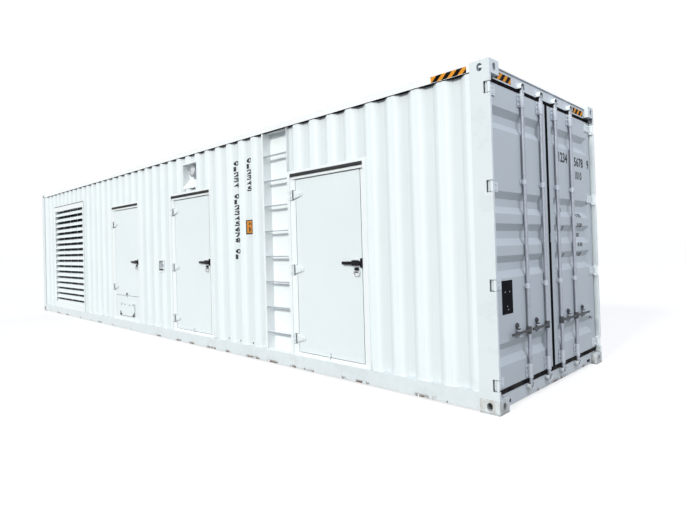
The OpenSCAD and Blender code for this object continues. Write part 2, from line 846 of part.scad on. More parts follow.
module lamp_niche() {
    back = -frame_face + niche_depth;
    rise = 120;
    color(white) {
        ring(niche_x, niche_z, [-frame_face, -skin_y],
            niche_border, niche_border, niche_border, niche_border);
        ring(niche_x, niche_z, [-skin_y, back], frame_t, frame_t, frame_t, frame_t);
        block([niche_x[0] - frame_t, back, niche_z[0] - frame_t],
            [niche_x[1] + frame_t, back + frame_t, niche_z[1] + frame_t]);
        // Floor that falls towards the front
        translate([niche_x[0], -frame_face, niche_z[0]]) rotate([90, 0, 90])
            linear_extrude(niche_w)
                polygon([[0, 0], [frame_t, 0], [niche_depth, rise], [niche_depth, rise + 6],
                    [0, 4]]);
    }
}

module floodlight() {
    x = (niche_x[0] + niche_x[1]) / 2;
    z = niche_z[1] - 40 - lamp_r;
    back = -frame_face + niche_depth;
    lamp_d = 46;
    foot_h = 22;
    front = back - foot_h - lamp_d;
    color(steel) {
        difference() {
            translate([x, 0, z]) rod_y(lamp_r, front, back - foot_h);
            translate([x, 0, z]) rod_y(lamp_r - 7, front - eps, front + 6);
        }
        translate([x, 0, z]) rod_y(18, back - foot_h, back);
    }
}

// A pocket in the wall with a border round its mouth
module stop_box() {
    x = [stop_pos[0], stop_pos[0] + stop_size];
    z = [stop_pos[1], stop_pos[1] + stop_size];
    front = -half_w + 3;
    back = front + stop_depth;
    color(white) difference() {
        block([x[0], front, z[0]], [x[1], back, z[1]]);
        block([x[0] + stop_border, front - eps, z[0] + stop_border],
            [x[1] - stop_border, back - frame_t, z[1] - stop_border]);
    }
}

// A push button on a round collar at the back of the pocket
module stop_button() {
    x = stop_pos[0] + stop_size / 2;
    z = stop_pos[1] + stop_size / 2;
    back = -half_w + 3 + stop_depth - frame_t;
    color(dark) translate([x, 0, z]) {
        rod_y(30, back - 12, back);
        rod_y(16, back - 30, back - 12);
        rod_y(24, back - 42, back - 30);
    }
}

// ---------- cargo doors ----------

// A trough with sloping flanks all round, open towards +X
module trough(y, z, depth, flank) {
    intersection() {
        translate([0, y[0], 0]) rotate([90, 0, 0]) mirror([0, 0, 1]) linear_extrude(y[1] - y[0])
            polygon([[eps, z[0] - flank * eps / depth], [-depth, z[0] + flank],
                [-depth, z[1] - flank], [eps, z[1] + flank * eps / depth]]);
        translate([0, 0, z[0] - flank]) linear_extrude(z[1] - z[0] + 2 * flank)
            polygon([[eps, y[0] - flank * eps / depth], [-depth, y[0] + flank],
                [-depth, y[1] - flank], [eps, y[1] + flank * eps / depth]]);
    }
}

// Right-hand leaf: box frame round a pressed panel
module cargo_leaf() {
    y = [cargo_mid, half_w - cargo_edge];
    skin = cargo_skin;
    inner_y = [y[0] + stile_w, y[1] - stile_w];
    inner_z = [cargo_z[0] + cargo_rail_h, cargo_z[1] - cargo_rail_h];
    difference() {
        union() {
            difference() {
                block([door_back, y[0], cargo_z[0]], [door_face, y[1], cargo_z[1]]);
                block([door_back - eps, inner_y[0], inner_z[0]],
                    [door_face + eps, inner_y[1], inner_z[1]]);
            }
            block([door_face - skin, inner_y[0], inner_z[0]], [door_face, inner_y[1], inner_z[1]]);
            for (g = groove_offsets) translate([door_face - skin, 0, door_mid_z + g])
                intersection() {
                    trough([inner_y[0] - skin, inner_y[1] + skin],
                        [-groove_h / 2 - skin, groove_h / 2 + skin], groove_d, groove_flank);
                    block([-groove_d, inner_y[0] - skin, -groove_h], [0, inner_y[1] + skin, groove_h]);
                }
        }
        for (g = groove_offsets) translate([door_face, 0, door_mid_z + g])
            trough(inner_y, [-groove_h / 2, groove_h / 2], groove_d, groove_flank);
    }
}

module cargo_door_right() {
    color(white) cargo_leaf();
}

module cargo_door_left() {
    color(white) mirror([0, 1, 0]) cargo_leaf();
}

// Rubber round the leaf's edges
module door_gasket() {
    y = [cargo_mid, half_w - cargo_edge];
    x = [door_back + 6, door_face + gasket_proud];
    above = header_low - cargo_z[1] - gasket_gap;
    below = cargo_z[0] - sill_top - gasket_gap;
    difference() {
        block([x[0], gasket_gap / 2, cargo_z[0] - below], [x[1], y[1], cargo_z[1] + above]);
        block([x[0] - eps, y[0], cargo_z[0]], [x[1] + eps, y[1] + eps, cargo_z[1]]);
    }
}

module right_door_gasket() {
    color(dark) door_gasket();
}

module left_door_gasket() {
    color(dark) mirror([0, 1, 0]) door_gasket();
}

// A bearing block that holds a lock bar on the door's face
module bar_bearing(y, z, h, foot) {
    r = bar_x - door_face;
    difference() {
        union() {
            block([door_face, y - r, z - h / 2], [bar_x, y + r, z + h / 2]);
            translate([bar_x, y, z - h / 2]) cylinder(r = r, h = h);
            block([door_face, y - r - foot, z - h / 2], [door_face + 6, y + r + foot, z + h / 2]);
        }
        translate([bar_x, y, z - h]) cylinder(r = bar_r + turn_fit, h = 2 * h);
    }
}

// The catch that a lock handle rests in, open outwards: a plate with round ends and two jaws
module handle_catch(y) {
    r = catch_w / 2;
    z = [lever_z - catch_h[0] + r, lever_z + catch_h[1] - r];
    block([door_face, y - r, z[0]], [door_face + 6, y + r, z[1]]);
    for (k = z) translate([door_face, y, k]) rotate([0, 90, 0]) cylinder(r = r, h = 6);
    for (s = [-1, 1])
        block([door_face, y - r + 2, lever_z + s * catch_jaw[0] - catch_jaw[1] / 2],
            [half_l - 8, y + r - 2, lever_z + s * catch_jaw[0] + catch_jaw[1] / 2]);
}

// The moving half of a cargo door hinge
module cargo_hinge(z) {
    difference() {
        union() {
            translate([pin_x, pin_y, z - blade_h / 2]) cylinder(r = knuckle_r, h = blade_h);
            block([door_face, pin_y - knuckle_r, z - blade_h / 2],
                [pin_x, pin_y + arm_t - knuckle_r, z + blade_h / 2]);
            block([door_face, pin_y - blade_l, z - blade_h / 2],
                [door_face + arm_t, pin_y + arm_t - knuckle_r, z + blade_h / 2]);
        }
        translate([pin_x, pin_y, z - blade_h]) cylinder(r = pin_r + turn_fit, h = 2 * blade_h);
    }
}

module cargo_fittings() {
    for (z = hinge_z) cargo_hinge(z);
    for (y = bar_y) {
        bar_bearing(y, cargo_z[1] - bracket_h / 2 - bracket_in, bracket_h, bracket_foot);
        bar_bearing(y, cargo_z[0] + bracket_h / 2 + bracket_in, bracket_h, bracket_foot);
        for (z = guide_z) bar_bearing(y, z, guide_h, 0);
        handle_catch(y + catch_in);
    }
}

// The right door also has a small lap plate at the gap between the doors
module right_door_fittings() {
    color(steel) {
        cargo_fittings();
        block([door_face, cargo_mid, lap_z], [door_face + 8, cargo_mid + 30, lap_z + lap_h]);
        block([door_face + gasket_proud + 0.5, 6, lap_z],
            [door_face + 8, cargo_mid + eps, lap_z + lap_h]);
    }
}

module left_door_fittings() {
    color(steel) mirror([0, 1, 0]) cargo_fittings();
}

// A blank plate held by four rivets under the middle hinge of the left door
module marker_plate() {
    y = -half_w + 288;
    z = 927;
    size = marker_size;
    color(dark) {
        translate([door_face, y - size[0] / 2, z - size[1] / 2]) cube([2, size[0], size[1]]);
        for (s = [-1, 1]) for (k = [-1, 1])
            translate([door_face + 1, y + s * (size[0] / 2 - 14), z + k * (size[1] / 2 - 14)])
                rotate([0, 90, 0]) cylinder(r = 5, h = 4);
    }
}

// A lock bar with a cam at each end
module lock_bar(y) {
    translate([bar_x, y, bar_low]) cylinder(r = bar_r, h = bar_top - bar_low);
    for (z = [bar_low, bar_top - cam_h])
        block([bar_x - cam_half, y - cam_half, z], [bar_x + cam_half, y + cam_reach, z + cam_h]);
}

// A hub round the bar and the lever that leaves it sideways
module lock_handle(y) {
    difference() {
        union() {
            translate([bar_x, y, lever_z - hub_h / 2]) cylinder(r = hub_r, h = hub_h);
            block([bar_x + hub_r - 2 - lever_t, y, lever_z - lever_w / 2],
                [bar_x + hub_r - 2, y + lever_l, lever_z + lever_w / 2]);
        }
        translate([bar_x, y, lever_z - hub_h])
            cylinder(r = bar_r + pin_fit, h = 2 * hub_h);
    }
}

// Bars and handles are numbered from the left door's outer bar to the right door's
module lock_bar_1() { color(steel) mirror([0, 1, 0]) lock_bar(bar_y[1]); }
module lock_bar_2() { color(steel) mirror([0, 1, 0]) lock_bar(bar_y[0]); }
module lock_bar_3() { color(steel) lock_bar(bar_y[0]); }
module lock_bar_4() { color(steel) lock_bar(bar_y[1]); }
module lock_handle_1() { color(steel) mirror([0, 1, 0]) lock_handle(bar_y[1]); }
module lock_handle_2() { color(steel) mirror([0, 1, 0]) lock_handle(bar_y[0]); }
module lock_handle_3() { color(steel) lock_handle(bar_y[0]); }
module lock_handle_4() { color(steel) lock_handle(bar_y[1]); }

// A round hood on the header that the cam turns under; the sill's are upside down
module keeper(y, z, up) {
    reach = bar_x + bar_r - beam_face;
    translate([beam_face, y, z]) mirror([0, 0, up ? 0 : 1]) difference() {
        union() {
            translate([0, -keeper_r, 0]) cube([reach, 2 * keeper_r, keeper_set]);
            intersection() {
                translate([0, 0, keeper_set]) rotate([0, 90, 0]) cylinder(r = keeper_r, h = reach);
                translate([0, -keeper_r, 0]) cube([reach, 2 * keeper_r, 2 * keeper_r]);
            }
        }
        translate([keeper_t, keeper_wall - keeper_r, -eps])
            cube([reach, 2 * (keeper_r - keeper_wall), keeper_set + eps]);
        translate([keeper_t, 0, keeper_set])
            rotate([0, 90, 0]) cylinder(r = keeper_r - keeper_wall, h = reach);
    }
}

module cam_keepers() {
    color(steel) both_sides() for (y = bar_y) {
        keeper(y, header_low, true);
        keeper(y, sill_top, false);
    }
}

module cargo_hinge_pins() {
    pin_h = notch_h + 2 * lug_t + 4;
    color(steel) both_sides() for (z = hinge_z)
        translate([pin_x, -pin_y, z - pin_h / 2]) cylinder(r = pin_r, h = pin_h);
}

bottom_rails();
cross_members();
floor_deck();
corner_castings();
door_end_posts();
blank_end_posts();
top_rails();
door_header();
door_sill();
blank_end_beams();
roof_panel();
blank_end_wall();
near_wall_panels();
near_wall_lintels();
far_wall_panels();
far_wall_lintels();
louvre_frames();
louvre_blades();
side_door_frames();
far_door_frames();
far_doors();
side_hinge_brackets();
hatch_panel();
cable_hatch();
side_door_1();
side_door_2();
side_door_3();
side_door_1_fittings();
side_door_2_fittings();
side_door_3_fittings();
side_handle_1();
side_handle_2();
side_handle_3();
ladder_recess();
ladder_steps();
lamp_niche();
floodlight();
stop_box();
stop_button();
cargo_door_left();
cargo_door_right();
left_door_gasket();
right_door_gasket();
left_door_fittings();
right_door_fittings();
marker_plate();
lock_bar_1();
lock_bar_2();
lock_bar_3();
lock_bar_4();
lock_handle_1();
lock_handle_2();
lock_handle_3();
lock_handle_4();
cam_keepers();
cargo_hinge_pins();
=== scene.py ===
import math
import random

import bmesh
import bpy
from mathutils import Matrix, Vector
from mathutils.bvhtree import BVHTree


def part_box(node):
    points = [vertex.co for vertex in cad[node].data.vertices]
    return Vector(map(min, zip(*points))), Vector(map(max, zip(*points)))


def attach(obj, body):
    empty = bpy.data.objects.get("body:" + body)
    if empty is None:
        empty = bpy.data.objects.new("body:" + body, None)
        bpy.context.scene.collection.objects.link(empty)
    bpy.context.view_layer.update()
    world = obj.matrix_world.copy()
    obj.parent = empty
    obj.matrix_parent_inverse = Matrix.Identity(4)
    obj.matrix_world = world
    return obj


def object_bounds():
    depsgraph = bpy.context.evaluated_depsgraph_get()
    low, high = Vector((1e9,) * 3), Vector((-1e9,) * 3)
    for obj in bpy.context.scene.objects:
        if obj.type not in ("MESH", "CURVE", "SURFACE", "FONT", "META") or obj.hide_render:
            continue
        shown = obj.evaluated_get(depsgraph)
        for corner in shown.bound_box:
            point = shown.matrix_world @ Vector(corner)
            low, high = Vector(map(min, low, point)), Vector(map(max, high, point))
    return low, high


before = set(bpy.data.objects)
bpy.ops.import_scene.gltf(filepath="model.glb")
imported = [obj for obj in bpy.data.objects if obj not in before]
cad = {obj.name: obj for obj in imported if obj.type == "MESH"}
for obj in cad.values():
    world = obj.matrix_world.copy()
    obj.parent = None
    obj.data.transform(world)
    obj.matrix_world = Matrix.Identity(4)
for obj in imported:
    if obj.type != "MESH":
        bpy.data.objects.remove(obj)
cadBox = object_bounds()
random.seed(40)
print("frame loaded")

camera = dict(
    place=(8.0496, -5.0086, 1.3982),
    heading=45.3, pitch=0.838, roll=-1.59,
    lens=26.454, sensor=36, shiftX=0.01805, shiftY=-0.0229, reach=2000)

light = dict(
    skyTint=(0.93, 0.98, 1.10), skyStrength=0.62, sunTint=(1.0, 1.0, 0.93),
    suns=dict(    # strength, the side that it comes from, and how many degrees across it is
        sun=(2.15, (0.05, -1.0, 0.5), 9),
        fill=(0.55, (1.0, -1.0, 0.3), 70),
        back=(0.8, (-0.5, 1.0, 0.25), 50)),
    softboxPlace=(12.0, -1.0, 8.5), softboxSize=(3.0, 3.0), softboxPower=300,
    softboxTint=(0.93, 0.98, 1.08),
    floorShade=0.1, floorColour=0.32, floorLift=0.68, floorSize=900, floorDrop=0.001)


def makeCamera(values):
    eye = bpy.data.cameras.new("camera")
    eye.lens = values["lens"]
    eye.sensor_width = values["sensor"]
    eye.shift_x = values["shiftX"]
    eye.shift_y = values["shiftY"]
    eye.clip_end = values["reach"]
    stand = bpy.data.objects.new("camera", eye)
    turn = Matrix.Rotation(math.radians(values["heading"]), 4, "Z")
    tip = Matrix.Rotation(math.radians(90 + values["pitch"]), 4, "X")
    lean = Matrix.Rotation(math.radians(values["roll"]), 4, "Z")
    stand.matrix_world = Matrix.Translation(values["place"]) @ turn @ tip @ lean
    bpy.context.collection.objects.link(stand)
    bpy.context.scene.camera = stand


def addNode(tree, kind, **settings):
    node = tree.nodes.new(kind)
    for name, value in settings.items():
        setattr(node, name, value)
    return node


def give(tree, socket, value):    # a number or a colour is set, and anything else is linked
    if isinstance(value, tuple):
        socket.default_value = (*value, 1)
    elif isinstance(value, (int, float)):
        socket.default_value = value
    else:
        tree.links.new(value, socket)


def feed(tree, node, **values):
    for label, value in values.items():
        give(tree, node.inputs[label.replace("_", " ")], value)
    return node


def mathOf(tree, operation, first, *others):    # several values are taken one after another
    for other in others or (None,):
        node = addNode(tree, "ShaderNodeMath", operation=operation)
        give(tree, node.inputs[0], first)
        if other is not None:
            give(tree, node.inputs[1], other)
        first = node.outputs[0]
    return first


def mixShaders(tree, rays, lighting, showing, output):    # one shader lights, the other shows
    path = addNode(tree, "ShaderNodeLightPath").outputs
    mix = addNode(tree, "ShaderNodeMixShader")
    tree.links.new(mathOf(tree, "MAXIMUM", *[path["Is %s Ray" % ray] for ray in rays]),
                   mix.inputs[0])
    tree.links.new(lighting.outputs[0], mix.inputs[1])
    tree.links.new(showing.outputs[0], mix.inputs[2])
    tree.links.new(mix.outputs[0], addNode(tree, output).inputs[0])


def makeWorld(values):    # a tinted sky lights the container, and a white room is what shows
    world = bpy.data.worlds.new("studio")
    bpy.context.scene.world = world
    world.use_nodes = True
    tree = world.node_tree
    tree.nodes.clear()
    sky = feed(tree, addNode(tree, "ShaderNodeBackground"), Color=values["skyTint"],
               Strength=values["skyStrength"])
    white = feed(tree, addNode(tree, "ShaderNodeBackground"), Color=(1, 1, 1))
    mixShaders(tree, ("Camera", "Glossy", "Transmission"), sky, white, "ShaderNodeOutputWorld")


def placeLamp(name, source, place, aim):
    lampObject = bpy.data.objects.new(name, source)
    turn = Vector(aim).to_track_quat("Z", "Y").to_matrix().to_4x4()
    lampObject.matrix_world = Matrix.Translation(place) @ turn
    bpy.context.collection.objects.link(lampObject)


def makeLamps(values):
    for name, (strength, side, softness) in values["suns"].items():
        sun = bpy.data.lights.new(name, "SUN")
        sun.energy = strength
        sun.color = values["sunTint"]
        sun.angle = math.radians(softness)
        placeLamp(name, sun, (0, 0, 0), side)
    softbox = bpy.data.lights.new("softbox", "AREA")
    softbox.shape = "RECTANGLE"
    softbox.size, softbox.size_y = values["softboxSize"]
    softbox.energy = values["softboxPower"]
    softbox.color = values["softboxTint"]
    place = Vector(values["softboxPlace"])
    placeLamp("softbox", softbox, place, place - Vector((cadBox[1][0], 0, cadBox[1][2] / 2)))


def makeFloor(values):
    mesh = bpy.data.meshes.new("floor")
    bm = bmesh.new()
    bmesh.ops.create_grid(bm, x_segments=1, y_segments=1, size=values["floorSize"] / 2)
    bmesh.ops.translate(bm, vec=(0, 0, cadBox[0][2] - values["floorDrop"]), verts=bm.verts)
    bm.to_mesh(mesh)
    bm.free()
    floor = bpy.data.objects.new("floor", mesh)
    bpy.context.collection.objects.link(floor)
    material = bpy.data.materials.new("studioFloor")
    material.use_nodes = True
    tree = material.node_tree
    tree.nodes.clear()
    shade, matt = [feed(tree, addNode(tree, "ShaderNodeBsdfDiffuse"), Color=(values[tone],) * 3)
                   for tone in ("floorShade", "floorColour")]
    lift = feed(tree, addNode(tree, "ShaderNodeEmission"), Strength=values["floorLift"])
    both = addNode(tree, "ShaderNodeAddShader")
    tree.links.new(matt.outputs[0], both.inputs[0])
    tree.links.new(lift.outputs[0], both.inputs[1])
    mixShaders(tree, ("Camera", "Glossy"), shade, both, "ShaderNodeOutputMaterial")
    mesh.materials.append(material)


makeCamera(camera)
makeWorld(light)
makeLamps(light)
makeFloor(light)
bpy.context.scene.view_settings.view_transform = "Standard"
print("camera, lights and floor made")


def newGroup(name, inputs, outputs):
    group = bpy.data.node_groups.new(name, "ShaderNodeTree")
    for label, value in inputs.items():
        kind = "NodeSocketColor" if isinstance(value, tuple) else "NodeSocketFloat"
        socket = group.interface.new_socket(label, in_out="INPUT", socket_type=kind)
        give(group, socket, value)
    for label in outputs:
        kind = "NodeSocketColor" if label == "Colour" else "NodeSocketFloat"
        group.interface.new_socket(label, in_out="OUTPUT", socket_type=kind)
    return group, addNode(group, "NodeGroupInput").outputs, addNode(group, "NodeGroupOutput")


def noiseOf(tree, vector, scale, detail=4, rough=0.55, stretch=None):
    if stretch:
        mapping = feed(tree, addNode(tree, "ShaderNodeMapping"), Vector=vector)
        mapping.inputs["Scale"].default_value = stretch
        vector = mapping.outputs[0]
    return feed(tree, addNode(tree, "ShaderNodeTexNoise"), Scale=scale, Detail=detail,
                Roughness=rough, Vector=vector).outputs["Fac"]


def rangeOf(tree, value, fromLow, fromHigh, toLow=0.0, toHigh=1.0):
    node = addNode(tree, "ShaderNodeMapRange", interpolation_type="SMOOTHSTEP")
    return feed(tree, node, Value=value, From_Min=fromLow, From_Max=fromHigh, To_Min=toLow,
                To_Max=toHigh).outputs["Result"]


def patchesOf(tree, vector, noise, limits):    # a noise that is read over a range
    return rangeOf(tree, noiseOf(tree, vector, *noise), *limits)


def mixOf(tree, factor, first, second, blend="MIX"):
    node = addNode(tree, "ShaderNodeMix", data_type="RGBA", blend_type=blend)
    for index, value in ((0, factor), (6, first), (7, second)):
        give(tree, node.inputs[index], value)
    return node.outputs[2]


def objectPlace(tree):
    return addNode(tree, "ShaderNodeTexCoord").outputs["Object"]


def axesOf(tree):
    return feed(tree, addNode(tree, "ShaderNodeSeparateXYZ"), Vector=objectPlace(tree)).outputs


# each noise is its scale, detail and roughness, and each pair of noise and limits is a mask
# the ambient occlusion entries lay a painted shade: a dark tone in corners and creases
weatherTones = dict(
    cloud=((0.8, 5), (0.3, 0.75, 0.975, 1.01)), runs=((1.0, 6, 0.6, (17, 17, 0.55)), (0.52, 0.8)),
    patches=((1.7, 3), (0.42, 0.7)), runTone=(0.33, 0.30, 0.27), foot=(0.0, 0.42, 1.0, 0.0),
    speckle=((11, 8, 0.7), (0.38, 0.68)), dustTone=(0.45, 0.42, 0.37), occlusionReach=0.06,
    occlusion=(0.2, 0.75, 1.0, 0.0), paintedShadeTone=(0.17, 0.17, 0.18), samples=4)
skinRelief = dict(peel=(190, 2), peelHeight=0.012, dents=(2.3, 2))
edgeChips = dict(
    radius=0.004, bend=(0.86, 0.995, 1.0, 0.0), broken=((42, 6, 0.7), (0.46, 0.66)),
    broad=((3.1, 3), (0.38, 0.7)), samples=4)
rustChips = dict(
    rise=(0.016, 0.052, 1.0, 0.05), bloom=((3.1, 9, 0.68), (0.525, 0.575)),
    chips=((22, 6, 0.7), (0.38, 0.48)), grain=(55, 6, 0.7), dark=(0.02, 0.012, 0.008),
    pale=(0.17, 0.085, 0.042))
spangleTones = dict(scale=85.0, tones=(0.0, 1.0, 0.9, 1.06))


def weatherGroup():    # cloudy paint, rain streaks, ground dust, and painted shade that darkens the corners and creases which ambient occlusion finds
    group, given, made = newGroup("weather", dict(Paint=(0.8, 0.8, 0.8), Streaks=0.1, Dust=0.2,
                                                  Corners=0.3), ("Colour", "Dirt"))
    place = objectPlace(group)
    tinted = mixOf(group, 1.0, given["Paint"], patchesOf(group, place, *weatherTones["cloud"]),
                   "MULTIPLY")
    streak = mathOf(group, "MULTIPLY", patchesOf(group, place, *weatherTones["runs"]),
                    patchesOf(group, place, *weatherTones["patches"]), given["Streaks"])
    streaked = mixOf(group, streak, tinted, weatherTones["runTone"])
    dust = mathOf(group, "MULTIPLY", rangeOf(group, axesOf(group)["Z"], *weatherTones["foot"]),
                  patchesOf(group, place, *weatherTones["speckle"]), given["Dust"])
    dusted = mixOf(group, dust, streaked, weatherTones["dustTone"])
    # painted shade: corners and creases found by ambient occlusion are darkened towards a dark tone
    corner = addNode(group, "ShaderNodeAmbientOcclusion", samples=weatherTones["samples"])
    occlusion = feed(group, corner, Distance=weatherTones["occlusionReach"])
    paintedShade = mathOf(group, "MULTIPLY", rangeOf(group, occlusion.outputs["AO"], *weatherTones["occlusion"]),
                   given["Corners"])
    # the roughness mask sums the streaks, the dust and the painted shade
    feed(group, made, Colour=mixOf(group, paintedShade, dusted, weatherTones["paintedShadeTone"]),
         Dirt=mathOf(group, "ADD", streak, dust, paintedShade))
    return group


def skinGroup():    # sprayed paint over thin sheet: fine orange peel and slow dents
    group, given, made = newGroup("paintSkin", dict(Peel=1.0, Dents=1.0), ("Height",))
    place = objectPlace(group)
    peel = mathOf(group, "MULTIPLY", noiseOf(group, place, *skinRelief["peel"]), given["Peel"],
                  skinRelief["peelHeight"])
    dents = mathOf(group, "MULTIPLY", noiseOf(group, place, *skinRelief["dents"]), given["Dents"])
    feed(group, made, Height=mathOf(group, "ADD", peel, dents))
    return group


def edgeGroup():    # chips and rubbed paint along outer edges
    group, given, made = newGroup("edgeWear", dict(Amount=0.5), ("Mask",))
    place = objectPlace(group)
    rounded = feed(group, addNode(group, "ShaderNodeBevel", samples=edgeChips["samples"]),
                   Radius=edgeChips["radius"])
    flat = addNode(group, "ShaderNodeNewGeometry")
    meet = addNode(group, "ShaderNodeVectorMath", operation="DOT_PRODUCT")
    group.links.new(rounded.outputs[0], meet.inputs[0])
    group.links.new(flat.outputs["Normal"], meet.inputs[1])
    edge = rangeOf(group, meet.outputs["Value"], *edgeChips["bend"])
    feed(group, made, Mask=mathOf(
        group, "MULTIPLY", edge, patchesOf(group, place, *edgeChips["broken"]),
        patchesOf(group, place, *edgeChips["broad"]), given["Amount"]))
    return group


def rustGroup():    # dark brown chips low down
    group, given, made = newGroup("rustBloom", dict(Amount=0.3), ("Mask", "Colour"))
    place = objectPlace(group)
    mask = mathOf(
        group, "MULTIPLY", rangeOf(group, axesOf(group)["Z"], *rustChips["rise"]),
        patchesOf(group, place, *rustChips["bloom"]), patchesOf(group, place, *rustChips["chips"]),
        given["Amount"])
    tone = mixOf(group, noiseOf(group, place, *rustChips["grain"]), rustChips["dark"],
                 rustChips["pale"])
    feed(group, made, Mask=mask, Colour=tone)
    return group


def spangleGroup():    # crystals of a zinc coat, which differ in tone and in gloss
    group, given, made = newGroup("spangle", dict(Scale=spangleTones["scale"]), ("Tone", "Gloss"))
    flakes = feed(group, addNode(group, "ShaderNodeTexVoronoi"), Scale=given["Scale"],
                  Vector=objectPlace(group))
    parts = feed(group, addNode(group, "ShaderNodeSeparateColor"),
                 Color=flakes.outputs["Color"]).outputs
    feed(group, made, Tone=rangeOf(group, parts[0], *spangleTones["tones"]), Gloss=parts[1])
    return group


shared = dict(weather=weatherGroup(), skin=skinGroup(), edges=edgeGroup(), rust=rustGroup(),
              spangle=spangleGroup())
print("shared effects made")


def placeGroup(tree, name, **values):
    return feed(tree, addNode(tree, "ShaderNodeGroup", node_tree=shared[name]), **values).outputs


def newMaterial(name, colour, rough, metallic=0.0, **sockets):
    material = bpy.data.materials.new(name)
    material.use_nodes = True
    material.diffuse_color = (*colour, 1)
    tree = material.node_tree
    shader = feed(tree, tree.nodes["Principled BSDF"], Base_Color=colour, Roughness=rough,
                  Metallic=metallic, **sockets)
    return material, tree, shader


def addBump(tree, shader, height, depth):
    bump = feed(tree, addNode(tree, "ShaderNodeBump"), Height=height, Distance=depth)
    feed(tree, shader, Normal=bump.outputs[0])


coats = dict(gloss=0.35, dirtAndShade=(0.0, 0.5), dull=0.8, relief=0.006)


# the corner amount sets how strongly corners and creases are darkened as painted shade
def paintedSteel(name, colour, rough=0.42, streaks=0.06, dust=0.2, cornerShade=0.3, wear=0.25,
                 rust=0.0, peel=1.0, dents=1.0, bare=(0.32, 0.31, 0.30), innerZincAndShade=None, grooveShade=None):
    # the inner tone goes to pieces nearer the middle, real zinc on the door gear and painted shade
    # on the louvre blade backs; the groove tones darken deep troughs and lighten crests, a painted
    # shade and painted light
    material, tree, shader = newMaterial(name, colour, rough, Specular_IOR_Level=coats["gloss"])
    base = colour
    # inner tone by distance from the middle: zinc on the door gear, painted shade on the louvre
    # blade backs
    if innerZincAndShade:
        reach = mathOf(tree, "ABSOLUTE", axesOf(tree)["Y"])
        tone = placeGroup(tree, "spangle", Scale=innerZincAndShade["scale"])["Tone"]
        innerTone = mixOf(tree, 1.0, innerZincAndShade["tone"], tone, "MULTIPLY")
        base = mixOf(tree, rangeOf(tree, reach, innerZincAndShade["reach"] - 0.001, innerZincAndShade["reach"]),
                     innerTone, colour)
    # painted shade and painted light: the deep troughs of a corrugated sheet are darkened and its
    # crests lightened
    if grooveShade:
        reach = mathOf(tree, "ABSOLUTE", axesOf(tree)["Y"])
        depth = rangeOf(tree, reach, *grooveShade["reach"], *grooveShade["tones"])
        base = mixOf(tree, 1.0, colour, depth, "MULTIPLY")
    worn = placeGroup(tree, "weather", Paint=base, Streaks=streaks, Dust=dust, Corners=cornerShade)
    result = mixOf(tree, placeGroup(tree, "edges", Amount=wear)["Mask"], worn["Colour"], bare)
    if rust:
        bloom = placeGroup(tree, "rust", Amount=rust)
        result = mixOf(tree, bloom["Mask"], result, bloom["Colour"])
    feed(tree, shader, Base_Color=result,
         Roughness=rangeOf(tree, worn["Dirt"], *coats["dirtAndShade"], rough, coats["dull"]))
    addBump(tree, shader, placeGroup(tree, "skin", Peel=peel, Dents=dents)["Height"],
            coats["relief"])
    return material


zincCoat = dict(dull=((5, 6, 0.6), (0.45, 0.75, 0.0, 0.4)), grain=(240, 3), relief=0.0003)


def zincSteel(name, colour, rough=0.42, metallic=0.3, dark=(0.24, 0.25, 0.27), wear=0.25,
              mottle=0.1):
    material, tree, shader = newMaterial(name, colour, rough, metallic)
    place = objectPlace(tree)
    flake = placeGroup(tree, "spangle", Scale=spangleTones["scale"])
    spangled = mixOf(tree, 1.0, colour, flake["Tone"], "MULTIPLY")
    dulled = mixOf(tree, patchesOf(tree, place, *zincCoat["dull"]), spangled, dark)
    worn = placeGroup(tree, "weather", Paint=dulled, Streaks=0.2, Dust=0.2, Corners=0.6)
    feed(tree, shader,
         Base_Color=mixOf(tree, placeGroup(tree, "edges", Amount=wear)["Mask"], worn["Colour"],
                          dark),
         Roughness=rangeOf(tree, flake["Gloss"], 0.0, 1.0, rough - mottle, rough + mottle))
    addBump(tree, shader, noiseOf(tree, place, *zincCoat["grain"]), zincCoat["relief"])
    return material


moulded = dict(detail=3, fade=2.5, lift=0.006, faded=((6, 5), (0.45, 0.8, 0.0, 0.3)), wear=0.5)


def mouldedBlack(name, colour, rough, grain=400, depth=0.0002, gloss=0.3):
    material, tree, shader = newMaterial(name, colour, rough, Specular_IOR_Level=gloss)
    place = objectPlace(tree)
    grains = noiseOf(tree, place, grain, moulded["detail"])
    pale = tuple(part * moulded["fade"] + moulded["lift"] for part in colour)
    faded = mixOf(tree, patchesOf(tree, place, *moulded["faded"]), colour, pale)
    dusty = placeGroup(tree, "weather", Paint=faded, Streaks=0.04, Dust=0.15, Corners=0.1)
    feed(tree, shader,
         Base_Color=mixOf(tree, placeGroup(tree, "edges", Amount=moulded["wear"])["Mask"],
                          dusty["Colour"], pale),
         Roughness=rangeOf(tree, grains, 0.3, 0.7, rough - 0.06, rough + 0.1))
    addBump(tree, shader, grains, depth)
    return material


def plywood(name, colour, values):
    material, tree, shader = newMaterial(name, colour, values["rough"])
    place = objectPlace(tree)
    grain = noiseOf(tree, place, *values["grain"])
    board = feed(tree, addNode(tree, "ShaderNodeTexBrick", offset=0.5), Vector=place,
                 **values["boards"])
    streaked = mixOf(tree, rangeOf(tree, grain, *values["streaks"]), board.outputs["Color"],
                     values["dark"])
    feed(tree, shader, Base_Color=mixOf(tree, patchesOf(tree, place, *values["scuffs"]), streaked,
                                        values["worn"]))
    addBump(tree, shader, grain, values["relief"])
    return material


